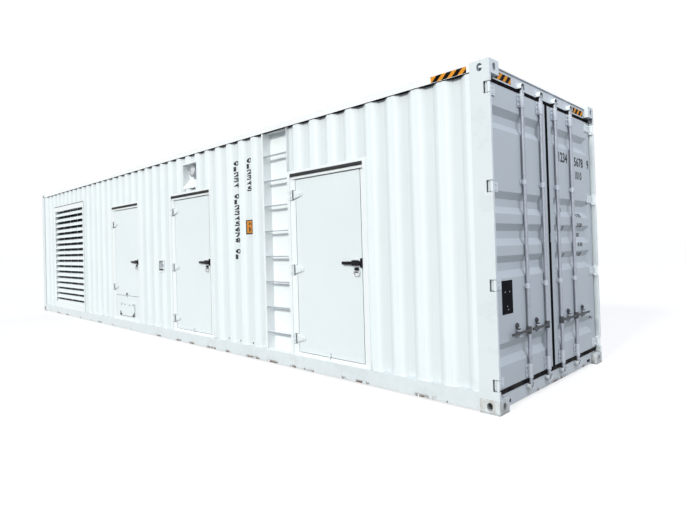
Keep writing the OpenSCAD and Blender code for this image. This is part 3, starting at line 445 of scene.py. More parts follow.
def stripedTape(name, values):
    material, tree, shader = newMaterial(name, values["orange"], 0.5, Specular_IOR_Level=0.04)
    axes = axesOf(tree)
    slanted = mathOf(tree, "SUBTRACT", mathOf(tree, "ADD", axes["X"], axes["Y"]),
                     mathOf(tree, "MULTIPLY", axes["Z"], values["slant"]))
    turns = mathOf(tree, "ADD", mathOf(tree, "DIVIDE", slanted, values["pitch"]),
                   values["start"])
    band = rangeOf(tree, mathOf(tree, "FRACT", turns), values["share"] - values["blur"],
                   values["share"] + values["blur"])
    worn = placeGroup(tree, "weather", Paint=mixOf(tree, band, values["orange"], values["black"]),
                      Streaks=0.1, Dust=0.1, Corners=0.1)
    feed(tree, shader, Base_Color=worn["Colour"])
    addBump(tree, shader, noiseOf(tree, objectPlace(tree), *values["grain"]), values["relief"])
    return material


filmWear = dict(gloss=0.25, thin=(60, 6, 0.7), limits=(0.55, 0.75), grain=(300, 2), relief=0.0001)


def wornFilm(name, colour, rough, patchy, under):    # stencilled ink or a stuck film
    material, tree, shader = newMaterial(name, colour, rough, Specular_IOR_Level=filmWear["gloss"])
    place = objectPlace(tree)
    thin = patchesOf(tree, place, filmWear["thin"], (*filmWear["limits"], 0.0, patchy))
    feed(tree, shader, Base_Color=mixOf(tree, thin, colour, under))
    addBump(tree, shader, noiseOf(tree, place, *filmWear["grain"]), filmWear["relief"])
    return material


def wireScreen(name, values):    # woven wire over a near-black backing, a painted shade for the unlit duct behind the louvre
    material, tree, shader = newMaterial(name, values["duct"], 0.8, Specular_IOR_Level=0.2)
    axes = axesOf(tree)
    wires = [rangeOf(tree, mathOf(tree, "PINGPONG", axes[axis], values["pitch"] / 2),
                     values["wire"] * 0.4, values["wire"] * 0.6, 1.0, 0.0) for axis in "XZ"]
    woven = mathOf(tree, "MAXIMUM", *wires)
    shade = mixOf(tree, noiseOf(tree, objectPlace(tree), *values["cloud"]), values["duct"],
                  tuple(part * 2 for part in values["duct"]))
    feed(tree, shader, Base_Color=mixOf(tree, woven, shade, values["steel"]))
    addBump(tree, shader, woven, values["relief"])
    return material


polish = dict(smears=(30, 6, 0.65), limits=(0.3, 0.75), haze=0.25, grain=(500, 2), relief=0.0001)


def polishedMetal(name, colour, rough):
    material, tree, shader = newMaterial(name, colour, rough, 1.0)
    place = objectPlace(tree)
    worn = placeGroup(tree, "weather", Paint=colour, Streaks=0.1, Dust=0.1, Corners=0.7)
    feed(tree, shader, Base_Color=worn["Colour"], Roughness=patchesOf(
        tree, place, polish["smears"], (*polish["limits"], rough, rough + polish["haze"])))
    addBump(tree, shader, noiseOf(tree, place, *polish["grain"]), polish["relief"])
    return material


lensWear = dict(ribs=40, relief=0.001, haze=((50, 5), (0.4, 0.8, 0.06, 0.3)))


def lensGlass(name, colour):
    material, tree, shader = newMaterial(name, colour, 0.12, Transmission_Weight=0.35)
    ribs = feed(tree, addNode(tree, "ShaderNodeTexWave", bands_direction="X"),
                Scale=lensWear["ribs"], Vector=objectPlace(tree))
    addBump(tree, shader, ribs.outputs["Fac"], lensWear["relief"])
    feed(tree, shader, Roughness=patchesOf(tree, objectPlace(tree), *lensWear["haze"]))
    return material


paint = dict(
    # the cargo door tone on the next line is the white paint darkened, a painted shade of the
    # shaded door end
    wall=(0.807, 0.868, 0.893), leaf=(0.79, 0.855, 0.88), cargo=(0.555, 0.61, 0.65),
    rail=(0.745, 0.805, 0.835), under=(0.07, 0.075, 0.08), bar=(0.38, 0.41, 0.47),
    gear=(0.53, 0.575, 0.64), forged=(0.04, 0.043, 0.05), rubber=(0.006, 0.006, 0.008),
    recessShadow=(0.045, 0.045, 0.046), lever=(0.006, 0.006, 0.008), plate=(0.006, 0.006, 0.009),
    chrome=(0.62, 0.62, 0.64), lamp=(0.52, 0.53, 0.55), glass=(0.92, 0.95, 0.97),
    ink=(0.02, 0.02, 0.025), orange=(0.66, 0.25, 0.02), deck=(0.34, 0.22, 0.13),
    # the recess and top rail tones on the next line are the white paint lightened, a painted light
    duct=(0.020, 0.021, 0.024), bayPaintedLight=(0.87, 0.91, 0.925), topRail=(0.92, 0.94, 0.95),
    # the door end frame tone is the rail paint darkened, a painted shade of the shaded door end
    endFrame=(0.65, 0.70, 0.74))
# the wall groove tones are painted shade in the troughs and painted light on the crests
wallGrooveShade = dict(reach=(1.176, 1.206), tones=(0.93, 1.06))
gearZinc = dict(tone=paint["gear"], reach=0.98, scale=90.0)
# the blade backs take the near-black duct tone, a painted shade deep between the louvre blades
bladeBackShade = dict(tone=paint["duct"], reach=1.160, scale=90.0)
tape = dict(orange=(0.80, 0.32, 0.03), black=(0.002, 0.002, 0.003), pitch=0.102, slant=1.0,
            start=0.735, share=0.46, blur=0.03, grain=(90, 3), relief=0.0003)
# the screen's duct tone is a painted shade for the unlit duct
screen = dict(duct=(0.010, 0.011, 0.013), steel=(0.06, 0.063, 0.068), pitch=0.014, wire=0.0022,
              cloud=(4, 4), relief=0.002)
deck = dict(
    rough=0.6, grain=(1.0, 8, 0.6, (3, 60, 60)), streaks=(0.35, 0.7, 0.0, 0.55),
    scuffs=((2.6, 9, 0.7), (0.5, 0.72, 0.0, 0.6)), dark=(0.16, 0.10, 0.06),
    worn=(0.30, 0.27, 0.23), relief=0.0006,
    boards=dict(Scale=1.0, Brick_Width=2.42, Row_Height=0.385, Mortar_Size=0.003,
                Color1=(0.30, 0.19, 0.11), Color2=(0.37, 0.24, 0.14), Mortar=(0.03, 0.025, 0.02)))

looks = dict(
    wall=paintedSteel("wallPaint", paint["wall"], cornerShade=0.5, wear=0.1, grooveShade=wallGrooveShade),
    # the deeper part of each louvre blade is painted near black, a painted shade between the blades
    blade=paintedSteel("bladePaintAndShade", paint["wall"], cornerShade=0.1, wear=0.1, innerZincAndShade=bladeBackShade),
    # the recess paint is lightened, a painted light so shaded recess faces read bright
    bayPaintedLight=paintedSteel("bayPaintLightened", paint["bayPaintedLight"], streaks=0.03, dust=0.05, cornerShade=0.06, wear=0.15,
                     dents=0.4),
    # the top rail paint is lightened, a painted light so the rail reads as brightly lit
    topRail=paintedSteel("topRailPaintLightened", paint["topRail"], streaks=0.0, dust=0.0, cornerShade=0.2,
                         wear=0.2, dents=0.3),
    roof=paintedSteel("roofPaint", paint["wall"], streaks=0.0, dust=0.0, wear=0.2),
    leaf=paintedSteel("doorLeafPaint", paint["leaf"], rough=0.36, streaks=0.04, dents=0.7),
    # the cargo doors take the darkened white paint, a painted shade
    cargo=paintedSteel("cargoDoorPaintShaded", paint["cargo"], streaks=0.08, wear=0.3),
    rail=paintedSteel("railPaint", paint["rail"], streaks=0.05, dust=0.1, wear=0.4, rust=1.0,
                      dents=0.4),
    # the header and sill take the darkened rail paint, a painted shade
    endFrame=paintedSteel("endFramePaintShaded", paint["endFrame"], streaks=0.05, dust=0.1, wear=0.4,
                          rust=1.0, dents=0.4),
    casting=paintedSteel("castingPaint", paint["rail"], rough=0.5, streaks=0.1, dust=0.85,
                         cornerShade=1.5, wear=0.6, rust=0.9, peel=3.0, dents=0.3,
                         bare=(0.22, 0.12, 0.07)),
    hinge=paintedSteel("hingePaint", paint["wall"], cornerShade=0.7, wear=0.4, dents=0.2),
    gear=paintedSteel("lockGearFinish", paint["rail"], cornerShade=0.8, wear=0.3, dents=0.1,
                      innerZincAndShade=gearZinc),
    under=paintedSteel("underfloorPaint", paint["under"], rough=0.75, streaks=0.2, dust=0.6,
                       wear=0.6, rust=0.5, bare=(0.16, 0.08, 0.045)),
    bar=zincSteel("lockBarZinc", paint["bar"], 0.38, 0.5, wear=0.05, mottle=0.02),
    forged=zincSteel("forgedSteel", paint["forged"], 0.55, 0.2, dark=(0.05, 0.05, 0.055),
                     wear=0.6),
    rubber=mouldedBlack("doorRubber", paint["rubber"], 0.85, 260, 0.0004, 0.04),
    # a dark grey for the strips under the door recess heads, a painted shadow
    recessShadow=mouldedBlack("recessShadowGrey", paint["recessShadow"], 0.8, 260, 0.0004, 0.1),
    lever=mouldedBlack("leverBlack", paint["lever"], 0.28, 500, 0.0001, 0.14),
    plate=mouldedBlack("plateBlack", paint["plate"], 0.7, 350, 0.00015, 0.04),
    deck=plywood("deckBoards", paint["deck"], deck),
    chrome=polishedMetal("lockChrome", paint["chrome"], 0.22),
    lamp=zincSteel("lampCasting", paint["lamp"], 0.45, 0.1, wear=0.2),
    glass=lensGlass("lampLens", paint["glass"]),
    tape=stripedTape("hazardTape", tape),
    ink=wornFilm("stencilInk", paint["ink"], 0.6, 0.35, (0.5, 0.52, 0.54)),
    orange=wornFilm("orangeFilm", paint["orange"], 0.4, 0.2, (0.6, 0.2, 0.03)),
    screen=wireScreen("ductScreen", screen))

nodeLooks = dict(
    wall=["near_wall_panels", "near_wall_lintels", "far_wall_panels", "far_wall_lintels"],
    bayPaintedLight=["louvre_frames", "side_door_frames", "far_door_frames", "ladder_recess", "lamp_niche",
         "stop_box", "ladder_steps"],
    topRail=["top_rails"],
    blade=["louvre_blades"],
    roof=["roof_panel"],
    leaf=["blank_end_wall", "far_doors", "side_door_1", "side_door_2", "side_door_3", "hatch_panel",
          "cable_hatch"],
    cargo=["cargo_door_left", "cargo_door_right"],
    rail=["bottom_rails", "door_end_posts", "blank_end_posts", "blank_end_beams"],
    endFrame=["door_header", "door_sill"],
    casting=["corner_castings"],
    hinge=["side_hinge_brackets", "side_door_1_fittings", "side_door_2_fittings",
           "side_door_3_fittings", "cam_keepers", "cargo_hinge_pins"],
    gear=["left_door_fittings", "right_door_fittings"],
    under=["cross_members"],
    deck=["floor_deck"],
    rubber=["left_door_gasket", "right_door_gasket"],
    bar=["lock_bar_1", "lock_bar_2", "lock_bar_3", "lock_bar_4", "stop_button"],
    forged=["lock_handle_1", "lock_handle_2", "lock_handle_3", "lock_handle_4"],
    lever=["side_handle_1", "side_handle_2", "side_handle_3"],
    lamp=["floodlight"],
    plate=["marker_plate"])

for look, names in nodeLooks.items():
    for name in names:
        cad[name].data.materials.clear()
        cad[name].data.materials.append(looks[look])
undressed = sorted(set(cad) - {name for names in nodeLooks.values() for name in names})
print("nodes dressed, left bare:", undressed)


lookSlots = dict(
    hinge="hinge_paint", gear="galvanized", forged="galvanized", bar="galvanized",
    chrome="galvanized", rubber="door_rubber", recessShadow="door_rubber", lever="black_lever",
    wall="white_paint", bayPaintedLight="white_paint", tape="white_paint", orange="white_paint",
    ink="black_plate", glass="lamp_metal", screen="black_plate")
walls = ((-1, "near"), (1, "far"))
sharpAngle = 32
bolt = dict(washer=1.1, washerTop=0.16, washerSides=12, head=0.9, headTop=0.8, headSides=6,
            headTip=0.82)
dome = dict(top=0.5, sides=14, tip=0.72, soften=0.2)


def makePiece(name, look, body, build, *given, slotName=None):
    bm = bmesh.new()
    build(bm, *given)
    mesh = bpy.data.meshes.new(name)
    bm.to_mesh(mesh)
    bm.free()
    for face in mesh.polygons:
        face.use_smooth = True
    mesh.set_sharp_from_angle(angle=math.radians(sharpAngle))
    mesh.materials.append(looks[look])
    piece = bpy.data.objects.new(name, mesh)
    bpy.context.collection.objects.link(piece)
    slotName = slotName or lookSlots[look]
    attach(piece, body)


def shift(start, span, side=1):
    return [start + side * part for part in span]


def about(middle, half):
    return shift(middle, (-half, half))


def edgesOf(verts):
    return {edge for vert in verts for edge in vert.link_edges}


def softenEdges(bm, edges, width, segments=2):
    bmesh.ops.bevel(bm, geom=list(edges), offset=width, segments=segments, affect="EDGES",
                    profile=0.5, material=-1)


def addBlock(bm, x, y, z, soften=0.0, segments=2):    # x, y and z are spans, in either order
    low, high = [Vector([pick(span) for span in (x, y, z)]) for pick in (min, max)]
    verts = bmesh.ops.create_cube(bm, size=1.0)["verts"]
    bmesh.ops.scale(bm, vec=high - low, verts=verts)
    bmesh.ops.translate(bm, vec=(low + high) / 2, verts=verts)
    if soften:
        softenEdges(bm, edgesOf(verts), soften, segments)


def addTaper(bm, x, y, z):    # y and z are the spans where x begins and where it ends
    verts = bmesh.ops.create_cube(bm, size=1.0)["verts"]
    for vert in verts:
        end, out, up = [part > 0 for part in vert.co]
        vert.co = (x[end], sorted(y[end])[out], sorted(z[end])[up])
    return verts


def addWedge(bm, x, z, outer, inner, side):    # a block whose outer face slopes along x
    addTaper(bm, x, [shift(0, (inner, depth), side) for depth in outer], (z, z))


def addRod(bm, start, end, radius, sides=16, tipRadius=None, soften=0.0):
    start, end = Vector(start), Vector(end)
    axis = end - start
    turn = axis.to_track_quat("Z", "Y").to_matrix().to_4x4()
    verts = bmesh.ops.create_cone(
        bm, cap_ends=True, segments=sides, radius1=radius,
        radius2=radius if tipRadius is None else tipRadius, depth=axis.length,
        matrix=Matrix.Translation((start + end) / 2) @ turn)["verts"]
    if soften:
        tip = {vert for vert in verts if (vert.co - start).dot(axis) > axis.length_squared / 2}
        softenEdges(bm, {edge for edge in edgesOf(tip) if tip.issuperset(edge.verts)}, soften)


def addPeg(bm, place, outward, span, *shape):    # a rod that stands on a face
    place, outward = Vector(place), Vector(outward)
    addRod(bm, place + outward * span[0], place + outward * span[1], *shape)


def addBolt(bm, place, outward, size):    # a hexagon head on its washer
    base, top = size * bolt["washerTop"], size * bolt["headTop"]
    addPeg(bm, place, outward, (0, base), size * bolt["washer"], bolt["washerSides"])
    addPeg(bm, place, outward, (base, top), size * bolt["head"], bolt["headSides"],
           size * bolt["headTip"])


def addDome(bm, place, outward, size):    # a round-headed rivet or screw
    addPeg(bm, place, outward, (0, size * dome["top"]), size, dome["sides"], size * dome["tip"],
           size * dome["soften"])


def addLink(bm, centre, halfWidth, halfHeight, wire, corner, sides=8, steps=5):
    # a wire loop that hangs in the plane of the wall: bends and straights in turn
    middle = Vector(centre)
    ring = bmesh.ops.create_circle(
        bm, segments=sides, radius=wire,
        matrix=Matrix.Translation(middle + Vector((halfWidth, 0, halfHeight - corner))))["verts"]
    edges = list(edgesOf(ring))
    bends = ((1, 1, (-2, 0, 0), halfWidth), (-1, 1, (0, 0, -2), halfHeight),
             (-1, -1, (2, 0, 0), halfWidth), (1, -1, (0, 0, 2), halfHeight))
    for right, up, straight, half in bends:
        pivot = middle + Vector((right * (halfWidth - corner), 0, up * (halfHeight - corner)))
        last = bmesh.ops.spin(bm, geom=edges, cent=pivot, axis=(0, -1, 0),
                              angle=math.pi / 2, steps=steps, use_duplicate=False)["geom_last"]
        edges = [part for part in last if isinstance(part, bmesh.types.BMEdge)]
        grown = bmesh.ops.extrude_edge_only(bm, edges=edges)["geom"]
        edges = [part for part in grown if isinstance(part, bmesh.types.BMEdge)
                 and all(vert in grown for vert in part.verts)]
        verts = [part for part in grown if isinstance(part, bmesh.types.BMVert)]
        bmesh.ops.translate(bm, vec=Vector(straight) * (half - corner), verts=verts)
    bmesh.ops.remove_doubles(bm, verts=bm.verts, dist=1e-5)
    bmesh.ops.recalc_face_normals(bm, faces=bm.faces)


def thickenSheet(bm, outward, thickness):
    bm.normal_update()
    if bm.faces[:][0].normal.dot(Vector(outward)) < 0:
        bmesh.ops.reverse_faces(bm, faces=bm.faces)
    bmesh.ops.solidify(bm, geom=bm.faces[:], thickness=thickness)


surfaces = {}
standOff = 2.0


def hitOn(node, place, inward):    # where a ray first meets a node's surface
    if node not in surfaces:
        mesh = cad[node].data
        surfaces[node] = BVHTree.FromPolygons([vert.co for vert in mesh.vertices],
                                              [face.vertices for face in mesh.polygons])
    return surfaces[node].ray_cast(Vector(place), Vector(inward), standOff)[0]


def wrapOnto(bm, node, inward, lift, thickness):
    # lays a flat shape on a node's outer face, cut first where that face folds
    inward = Vector(inward)
    axis = 0 if abs(inward.y) > 0.5 else 2
    spans = [vert.co[axis] for vert in bm.verts]
    folds = {round(vert.co[axis], 4) for vert in cad[node].data.vertices
             if min(spans) < vert.co[axis] < max(spans)}
    for fold in sorted(folds):
        spot, normal = Vector(), Vector()
        spot[axis], normal[axis] = fold, 1
        bmesh.ops.bisect_plane(bm, geom=bm.verts[:] + bm.edges[:] + bm.faces[:], plane_co=spot,
                               plane_no=normal)
    bmesh.ops.triangulate(bm, faces=bm.faces)
    bm.normal_update()
    if sum(face.normal.dot(inward) * face.calc_area() for face in bm.faces) > 0:
        bmesh.ops.reverse_faces(bm, faces=bm.faces)
    for vert in bm.verts:
        hit = hitOn(node, vert.co, inward)
        if hit:
            vert.co = hit - inward * lift
    bmesh.ops.solidify(bm, geom=bm.faces[:], thickness=thickness)


def addDigits(bm, digits, corner, size, along, upward, bold):
    # corner is where the lower left of the first digit stands
    curve = bpy.data.curves.new("digits", "FONT")
    curve.body = digits
    curve.resolution_u = 3
    curve.offset = bold
    text = bpy.data.objects.new("digits", curve)
    bpy.context.collection.objects.link(text)
    graph = bpy.context.evaluated_depsgraph_get()
    mesh = bpy.data.meshes.new_from_object(text.evaluated_get(graph))
    bpy.data.objects.remove(text)
    bpy.data.curves.remove(curve)
    low, high = [[pick(vert.co[i] for vert in mesh.vertices) for i in (0, 1)]
                 for pick in (min, max)]
    along, upward, corner = Vector(along), Vector(upward), Vector(corner)
    for vert in mesh.vertices:
        right, rise = [(vert.co[i] - low[i]) / (high[i] - low[i]) * size[i] for i in (0, 1)]
        vert.co = corner + along * right + upward * rise
    bm.from_mesh(mesh)
    bpy.data.meshes.remove(mesh)


# a rod is its span outwards, radius, sides, tip radius and softening
cargo = dict(
    hingeIn=(0.063, 0.071), hingeCount=4, strapBolts=(0.055, 0.112), strapFace=0.010,
    boltRise=0.022, hingeBolt=0.008, pinIn=0.008, barY=(0.175, 0.575), footIn=0.067,
    footOut=0.042, footRise=0.043, footFace=0.006, footBolt=0.012, guideZ=(1.0, 1.93),
    ear=(0.036, 0.015, 0.020), earFace=0.005, earSoft=0.002, earBolt=0.009)
catches = dict(
    face=0.006, inset=0.210, leverZ=0.605, knobRise=0.064,
    knob=((0, 0.014), 0.025, 24, 0.022, 0.005), nut=((0.014, 0.021), 0.010, 6, 0.009),
    tongue=((0, 0.030), 0.019, (-0.034, -0.026), 0.003), rivetDrop=0.034, rivet=0.010)
lips = dict(radius=0.0028, back=0.001, across=0.019, upright=0.017, sides=10)

doorLow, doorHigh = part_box("cargo_door_right")
doorFace = doorHigh.x
doorOut = (1, 0, 0)
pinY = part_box("cargo_hinge_pins")[1].y - cargo["pinIn"]


def hingeBolts(bm, side):
    first = doorLow.z + cargo["hingeIn"][0]
    last = doorHigh.z - cargo["hingeIn"][1]
    for step in range(cargo["hingeCount"]):
        z = first + step * (last - first) / (cargo["hingeCount"] - 1)
        for reach in cargo["strapBolts"]:
            for rise in about(z, cargo["boltRise"]):
                addBolt(bm, (doorFace + cargo["strapFace"], side * (pinY - reach), rise),
                        doorOut, cargo["hingeBolt"])


def barFixings(bm, side):    # round heads on the bearing feet, and the ears of the guides
    out, halfWidth, halfHeight = cargo["ear"]
    earFace = doorFace + cargo["earFace"]
    for y in cargo["barY"]:
        for foot in about(side * y, cargo["footOut"]):
            for z in (doorLow.z + cargo["footIn"], doorHigh.z - cargo["footIn"]):
                for rise in (z, *about(z, cargo["footRise"])):
                    addDome(bm, (doorFace + cargo["footFace"], foot, rise), doorOut,
                            cargo["footBolt"])
        for z in cargo["guideZ"]:
            for ear in about(side * y, out):
                addBlock(bm, (doorFace, earFace), about(ear, halfWidth), about(z, halfHeight),
                         cargo["earSoft"])
                addDome(bm, (earFace, ear, z), doorOut, cargo["earBolt"])


def handleCatches(bm, side):    # the swivelling knob over each handle and the rivet under it
    face = doorFace + catches["face"]
    z = catches["leverZ"] + catches["knobRise"]
    out, half, span, soften = catches["tongue"]
    for y in cargo["barY"]:
        middle = side * (y + catches["inset"])
        for part in ("knob", "nut"):
            addPeg(bm, (face, middle, z), doorOut, *catches[part])
        addBlock(bm, shift(face, out), about(middle, half), shift(z, span), soften)
        addDome(bm, (face, middle, catches["leverZ"] - catches["rivetDrop"]), doorOut,
                catches["rivet"])


def gasketLips(bm, side):    # the ribs that stand along the seal's free edges
    low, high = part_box("right_door_gasket")
    lip, sides = lips["radius"], lips["sides"]
    front = high.x - lips["back"]
    inner, outer = side * (low.y + lip), side * (high.y - lip)
    for inset in (lip, lips["across"]):
        for z in (low.z + inset, high.z - inset):
            addRod(bm, (front, inner, z), (front, outer, z), lip, sides)
    for inset in (lip, lips["upright"]):
        y = side * (low.y + inset)
        addRod(bm, (front, y, low.z + lip), (front, y, high.z - lip), lip, sides)


for side, label in ((-1, "left"), (1, "right")):
    for part, look, build in (
            ("hinge_bolts", "hinge", hingeBolts), ("bar_fixings", "gear", barFixings),
            ("handle_catches", "forged", handleCatches), ("gasket_lips", "rubber", gasketLips)):
        makePiece("%s_%s" % (label, part), look, "cargo_door_" + label, build, side)

plate = dict(rivet=0.0055, face=0.002, spots=((-0.042, 0.045), (0.042, 0.045), (-0.004, -0.078),
                                              (0.012, -0.106)))


def plateRivets(bm):
    low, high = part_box("marker_plate")
    middle = (low + high) / 2
    for right, rise in plate["spots"]:
        addDome(bm, (low.x + plate["face"], middle.y + right, middle.z + rise), doorOut,
                plate["rivet"])


makePiece("marker_plate_rivets", "bar", "cargo_door_left", plateRivets)
print("cargo door hardware made")

# blocks are spans from the spindle along x, outwards and along z, and then the softening
locks = dict(
    hubRadius=0.020, hubFront=0.028, link=(0.0135, -0.108), linkShape=(0.038, 0.026, 0.005, 0.020),
    plate=((-0.048, 0.036), (0.0075, 0.0105), (-0.034, 0.034), 0.0012),
    rivetX=(-0.041, 0.029), rivetZ=0.027, rivet=0.0035,
    caseBlocks=(((0.058, 0.075), (-0.010, 0.021), (-0.049, 0.049), 0.004),
                ((-0.029, 0.029), (0.0055, 0.0095), (-0.098, -0.045), 0.002),
                ((-0.029, 0.029), (0.008, 0.0208), (-0.0685, -0.0575), 0.003)),
    caseRods=((0, 0, (0.010, 0.0132), 0.028, 28, None, 0.001),
              (0.046, -0.003, (0.0075, 0.038), 0.024, 24, 0.020, 0.004),
              (0.046, -0.003, (0.037, 0.041), 0.009, 16, None, 0.001)))
grips = dict(overhang=0.004, gap=0.050, lever=((0.0155, 0.034), 0.017, 0.008, 3),
             bodyX=(-0.058, 0.042), body=((0.0155, 0.031), 0.029, 0.009, 3),
             cap=((0.024, 0.034), 0.024, 28, 0.021, 0.003))
hinges = dict(
    pinIn=0.012, strapBolts=(0.070, 0.125), face=0.012, boltRise=0.011, bolt=0.006,
    wingX=(0.026, 0.156), wingHalf=(0.050, 0.020), wingOut=(0.017, 0.008), wingLift=0.006,
    wingSoft=(0.004, 3), web=((0.014, 0.032), (0, 0.010), (-0.050, 0.048), 0.001),
    tall=(0.149, 0.178), short=(0.144, 0.258), middle=1.140)


def handlePivot(number, side):    # where the handle's spindle meets the leaf
    low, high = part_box("side_handle_%d" % number)
    return Vector((high.x - locks["hubRadius"], -side * (low.y + locks["hubFront"]),
                   (low.z + high.z) / 2))


def hingePlace(number, side):    # the pin's axis, and the face that the hinge lies on
    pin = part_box("side_door_%d_fittings" % number)[0].x + hinges["pinIn"]
    return pin, handlePivot(number, side).y


def addAround(bm, pivot, side, x, out, z, *soften):
    addBlock(bm, shift(pivot[0], x), shift(pivot[1], out, side), shift(pivot[2], z), *soften)


def lockPlate(bm, number, side):
    pivot = handlePivot(number, side)
    out, drop = locks["link"]
    addLink(bm, pivot + Vector((0, side * out, drop)), *locks["linkShape"])
    addAround(bm, pivot, side, *locks["plate"])
    face = pivot.y + side * locks["plate"][1][1]
    for x in shift(pivot.x, locks["rivetX"]):
        for z in about(pivot.z, locks["rivetZ"]):
            addDome(bm, (x, face, z), (0, side, 0), locks["rivet"])


def lockCase(bm, number, side):
    pivot = handlePivot(number, side)
    for right, rise, *shape in locks["caseRods"]:
        addPeg(bm, pivot + Vector((right, 0, rise)), (0, side, 0), *shape)
    for block in locks["caseBlocks"]:
        addAround(bm, pivot, side, *block)


def leverGrip(bm, number, side):    # a moulded grip over the steel lever
    pivot = handlePivot(number, side)
    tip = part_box("side_handle_%d" % number)[0].x - grips["overhang"]
    for x, part in (((tip, pivot.x - grips["gap"]), "lever"),
                    (shift(pivot.x, grips["bodyX"]), "body")):
        out, half, *soften = grips[part]
        addBlock(bm, x, shift(pivot.y, out, side), about(pivot.z, half), *soften)
    addPeg(bm, pivot, (0, side, 0), *grips["cap"])


def hingeHeights(number, side):
    short = number == 1 and side < 0
    ends = hinges["short"] if short else hinges["tall"]
    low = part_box("side_door_%d" % (1 if short else 2))[0].z
    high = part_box("side_door_%d" % number)[1].z
    return [low + ends[0], high - ends[1]] + ([] if short else [hinges["middle"]])


def hingeWings(bm, number, side):    # the cast wing of each hinge, thick at the pin and pointed
    pin, face = hingePlace(number, side)
    for z in shift(hinges["wingLift"], hingeHeights(number, side)):
        verts = addTaper(bm, shift(pin, hinges["wingX"]),
                         [shift(face, (0, out), side) for out in hinges["wingOut"]],
                         [about(z, half) for half in hinges["wingHalf"]])
        softenEdges(bm, edgesOf(verts), *hinges["wingSoft"])
        addAround(bm, (pin, face, z), side, *hinges["web"])


def sideBolts(bm, number, side):    # hexagon heads on the hinge straps
    pin, face = hingePlace(number, side)
    for z in hingeHeights(number, side):
        for x in shift(pin, hinges["strapBolts"]):
            for rise in about(z, hinges["boltRise"]):
                addBolt(bm, (x, face + side * hinges["face"], rise), (0, side, 0),
                        hinges["bolt"])


for number in (1, 2, 3):
    leaf, handle = "side_door_%d" % number, "side_handle_%d" % number
    for side, name, body, lever in ((-1, leaf, leaf, handle),
                                    (1, "far_door_%d" % number, "container", "container")):
        for part, look, carrier, build in (
                ("lock_plate", "chrome", body, lockPlate), ("lock_case", "lever", body, lockCase),
                ("grip", "lever", lever, leverGrip), ("hinge_wings", "hinge", body, hingeWings),
                ("hinge_bolts", "hinge", body, sideBolts)):
            makePiece("%s_%s" % (name, part), look, carrier, build, number, side)
print("side door hardware made")

# these dark strips are painted shadow: under the door recess heads and under the top rail
shadowStrips = dict(
    head=0.045, spread=0.064, recessDepth=(1.2155, 1.190), span=(-0.021, 0.013), soften=0.003,
    railShadow=(-0.004, 0.001), railShadowDepth=(1.2150, 1.172), railShadowEnd=0.002, railShadowCells=60, longEdge=1)
surround = dict(
    flange=0.111, flankOuter=(1.2085, 1.173), flankInner=1.172, flankRun=0.036,
    flankEnds=(0.006, 0.002), edge=0.0645, gap=0.008, joint=0.0005, floor=0.165, face=1.178,
    headFace=1.200, headTop=0.038, crown=0.007, mouth=1.208, back=1.150, hingeRoom=0.060,
    hingeBack=1.173)


def recessHeadShadow(bm, side):    # a dark strip under the head of each door recess, a painted shadow of the recess head
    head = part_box("side_door_frames")[1].z - shadowStrips["head"]
    for number in (1, 2, 3):
        low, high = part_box("side_door_%d" % number)
        addBlock(bm, (low.x - shadowStrips["spread"], high.x + shadowStrips["spread"]),
                 shift(0, shadowStrips["recessDepth"], side), shift(head, shadowStrips["span"]),
                 shadowStrips["soften"])


def frameFlanks(bm, side):    # the sloping flank between a recess flange and the corrugations
    low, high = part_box("side_door_frames")
    foot, head = surround["flankEnds"]
    for number in (1, 2, 3):
        leafLow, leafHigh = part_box("side_door_%d" % number)
        for edge, away in ((leafLow.x - surround["flange"], -1),
                           (leafHigh.x + surround["flange"], 1)):
            addWedge(bm, sorted((edge, edge + away * surround["flankRun"])),
                     (low.z + foot, high.z - head), surround["flankOuter"][::away],
                     surround["flankInner"], side)


def leafSurround(bm, number, side):    # the frame's inner lining, with a joint round the leaf
    low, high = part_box("side_door_%d" % number)
    short = number == 1 and side < 0
    foot = low.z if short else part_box("side_door_2")[0].z
    edge, gap, face, back, joint = [surround[name]
                                    for name in ("edge", "gap", "face", "back", "joint")]
    jamb, right = (low.x - edge, low.x - gap), high.x + edge
    crown = high.z + surround["crown"]
    stops = [surround["floor"]]
    for z in sorted(hingeHeights(number, side)):
        stops += about(z, surround["hingeRoom"])
    stops.append(crown)
    for span in zip(stops[::2], stops[1::2]):
        addWedge(bm, jamb, span, (surround["mouth"], face), back, side)
    for base, top in zip(stops[1::2], stops[2::2]):
        addWedge(bm, jamb, (base + joint, top - joint), [surround["hingeBack"]] * 2, back, side)
    addWedge(bm, (high.x + gap, right), (stops[0], crown), (face, face), back, side)
    addWedge(bm, (jamb[0], right), (crown + joint, high.z + surround["headTop"]),
             [surround["headFace"]] * 2, back, side)
    if not short:
        addWedge(bm, (jamb[1] + joint, high.x + gap - joint), (stops[0], foot - gap),
                 (face, face), back, side)


def railShadowStrip(bm, side):    # a dark strip where the corrugated wall meets the top rail, a painted shadow under the rail
    low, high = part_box("top_rails")
    addBlock(bm, (low.x + shadowStrips["railShadowEnd"], high.x - shadowStrips["railShadowEnd"]),
             shift(0, shadowStrips["railShadowDepth"], side), shift(low.z, shadowStrips["railShadow"]))
    bmesh.ops.subdivide_edges(bm, edges=[edge for edge in bm.edges
                                         if edge.calc_length() > shadowStrips["longEdge"]],
                              cuts=shadowStrips["railShadowCells"])


for side, label in walls:
    makePiece("recess_head_shadow_" + label, "recessShadow", "container", recessHeadShadow, side)
    makePiece("frame_flanks_" + label, "wall", "container", frameFlanks, side)
    for number in (1, 2, 3):
        # the linings take the lightened recess paint, a painted light
        makePiece("door_lining_%d_%s" % (number, label), "bayPaintedLight", "container", leafSurround,
                  number, side)
    makePiece("rail_shadow_strip_" + label, "rubber", "container", railShadowStrip, side)

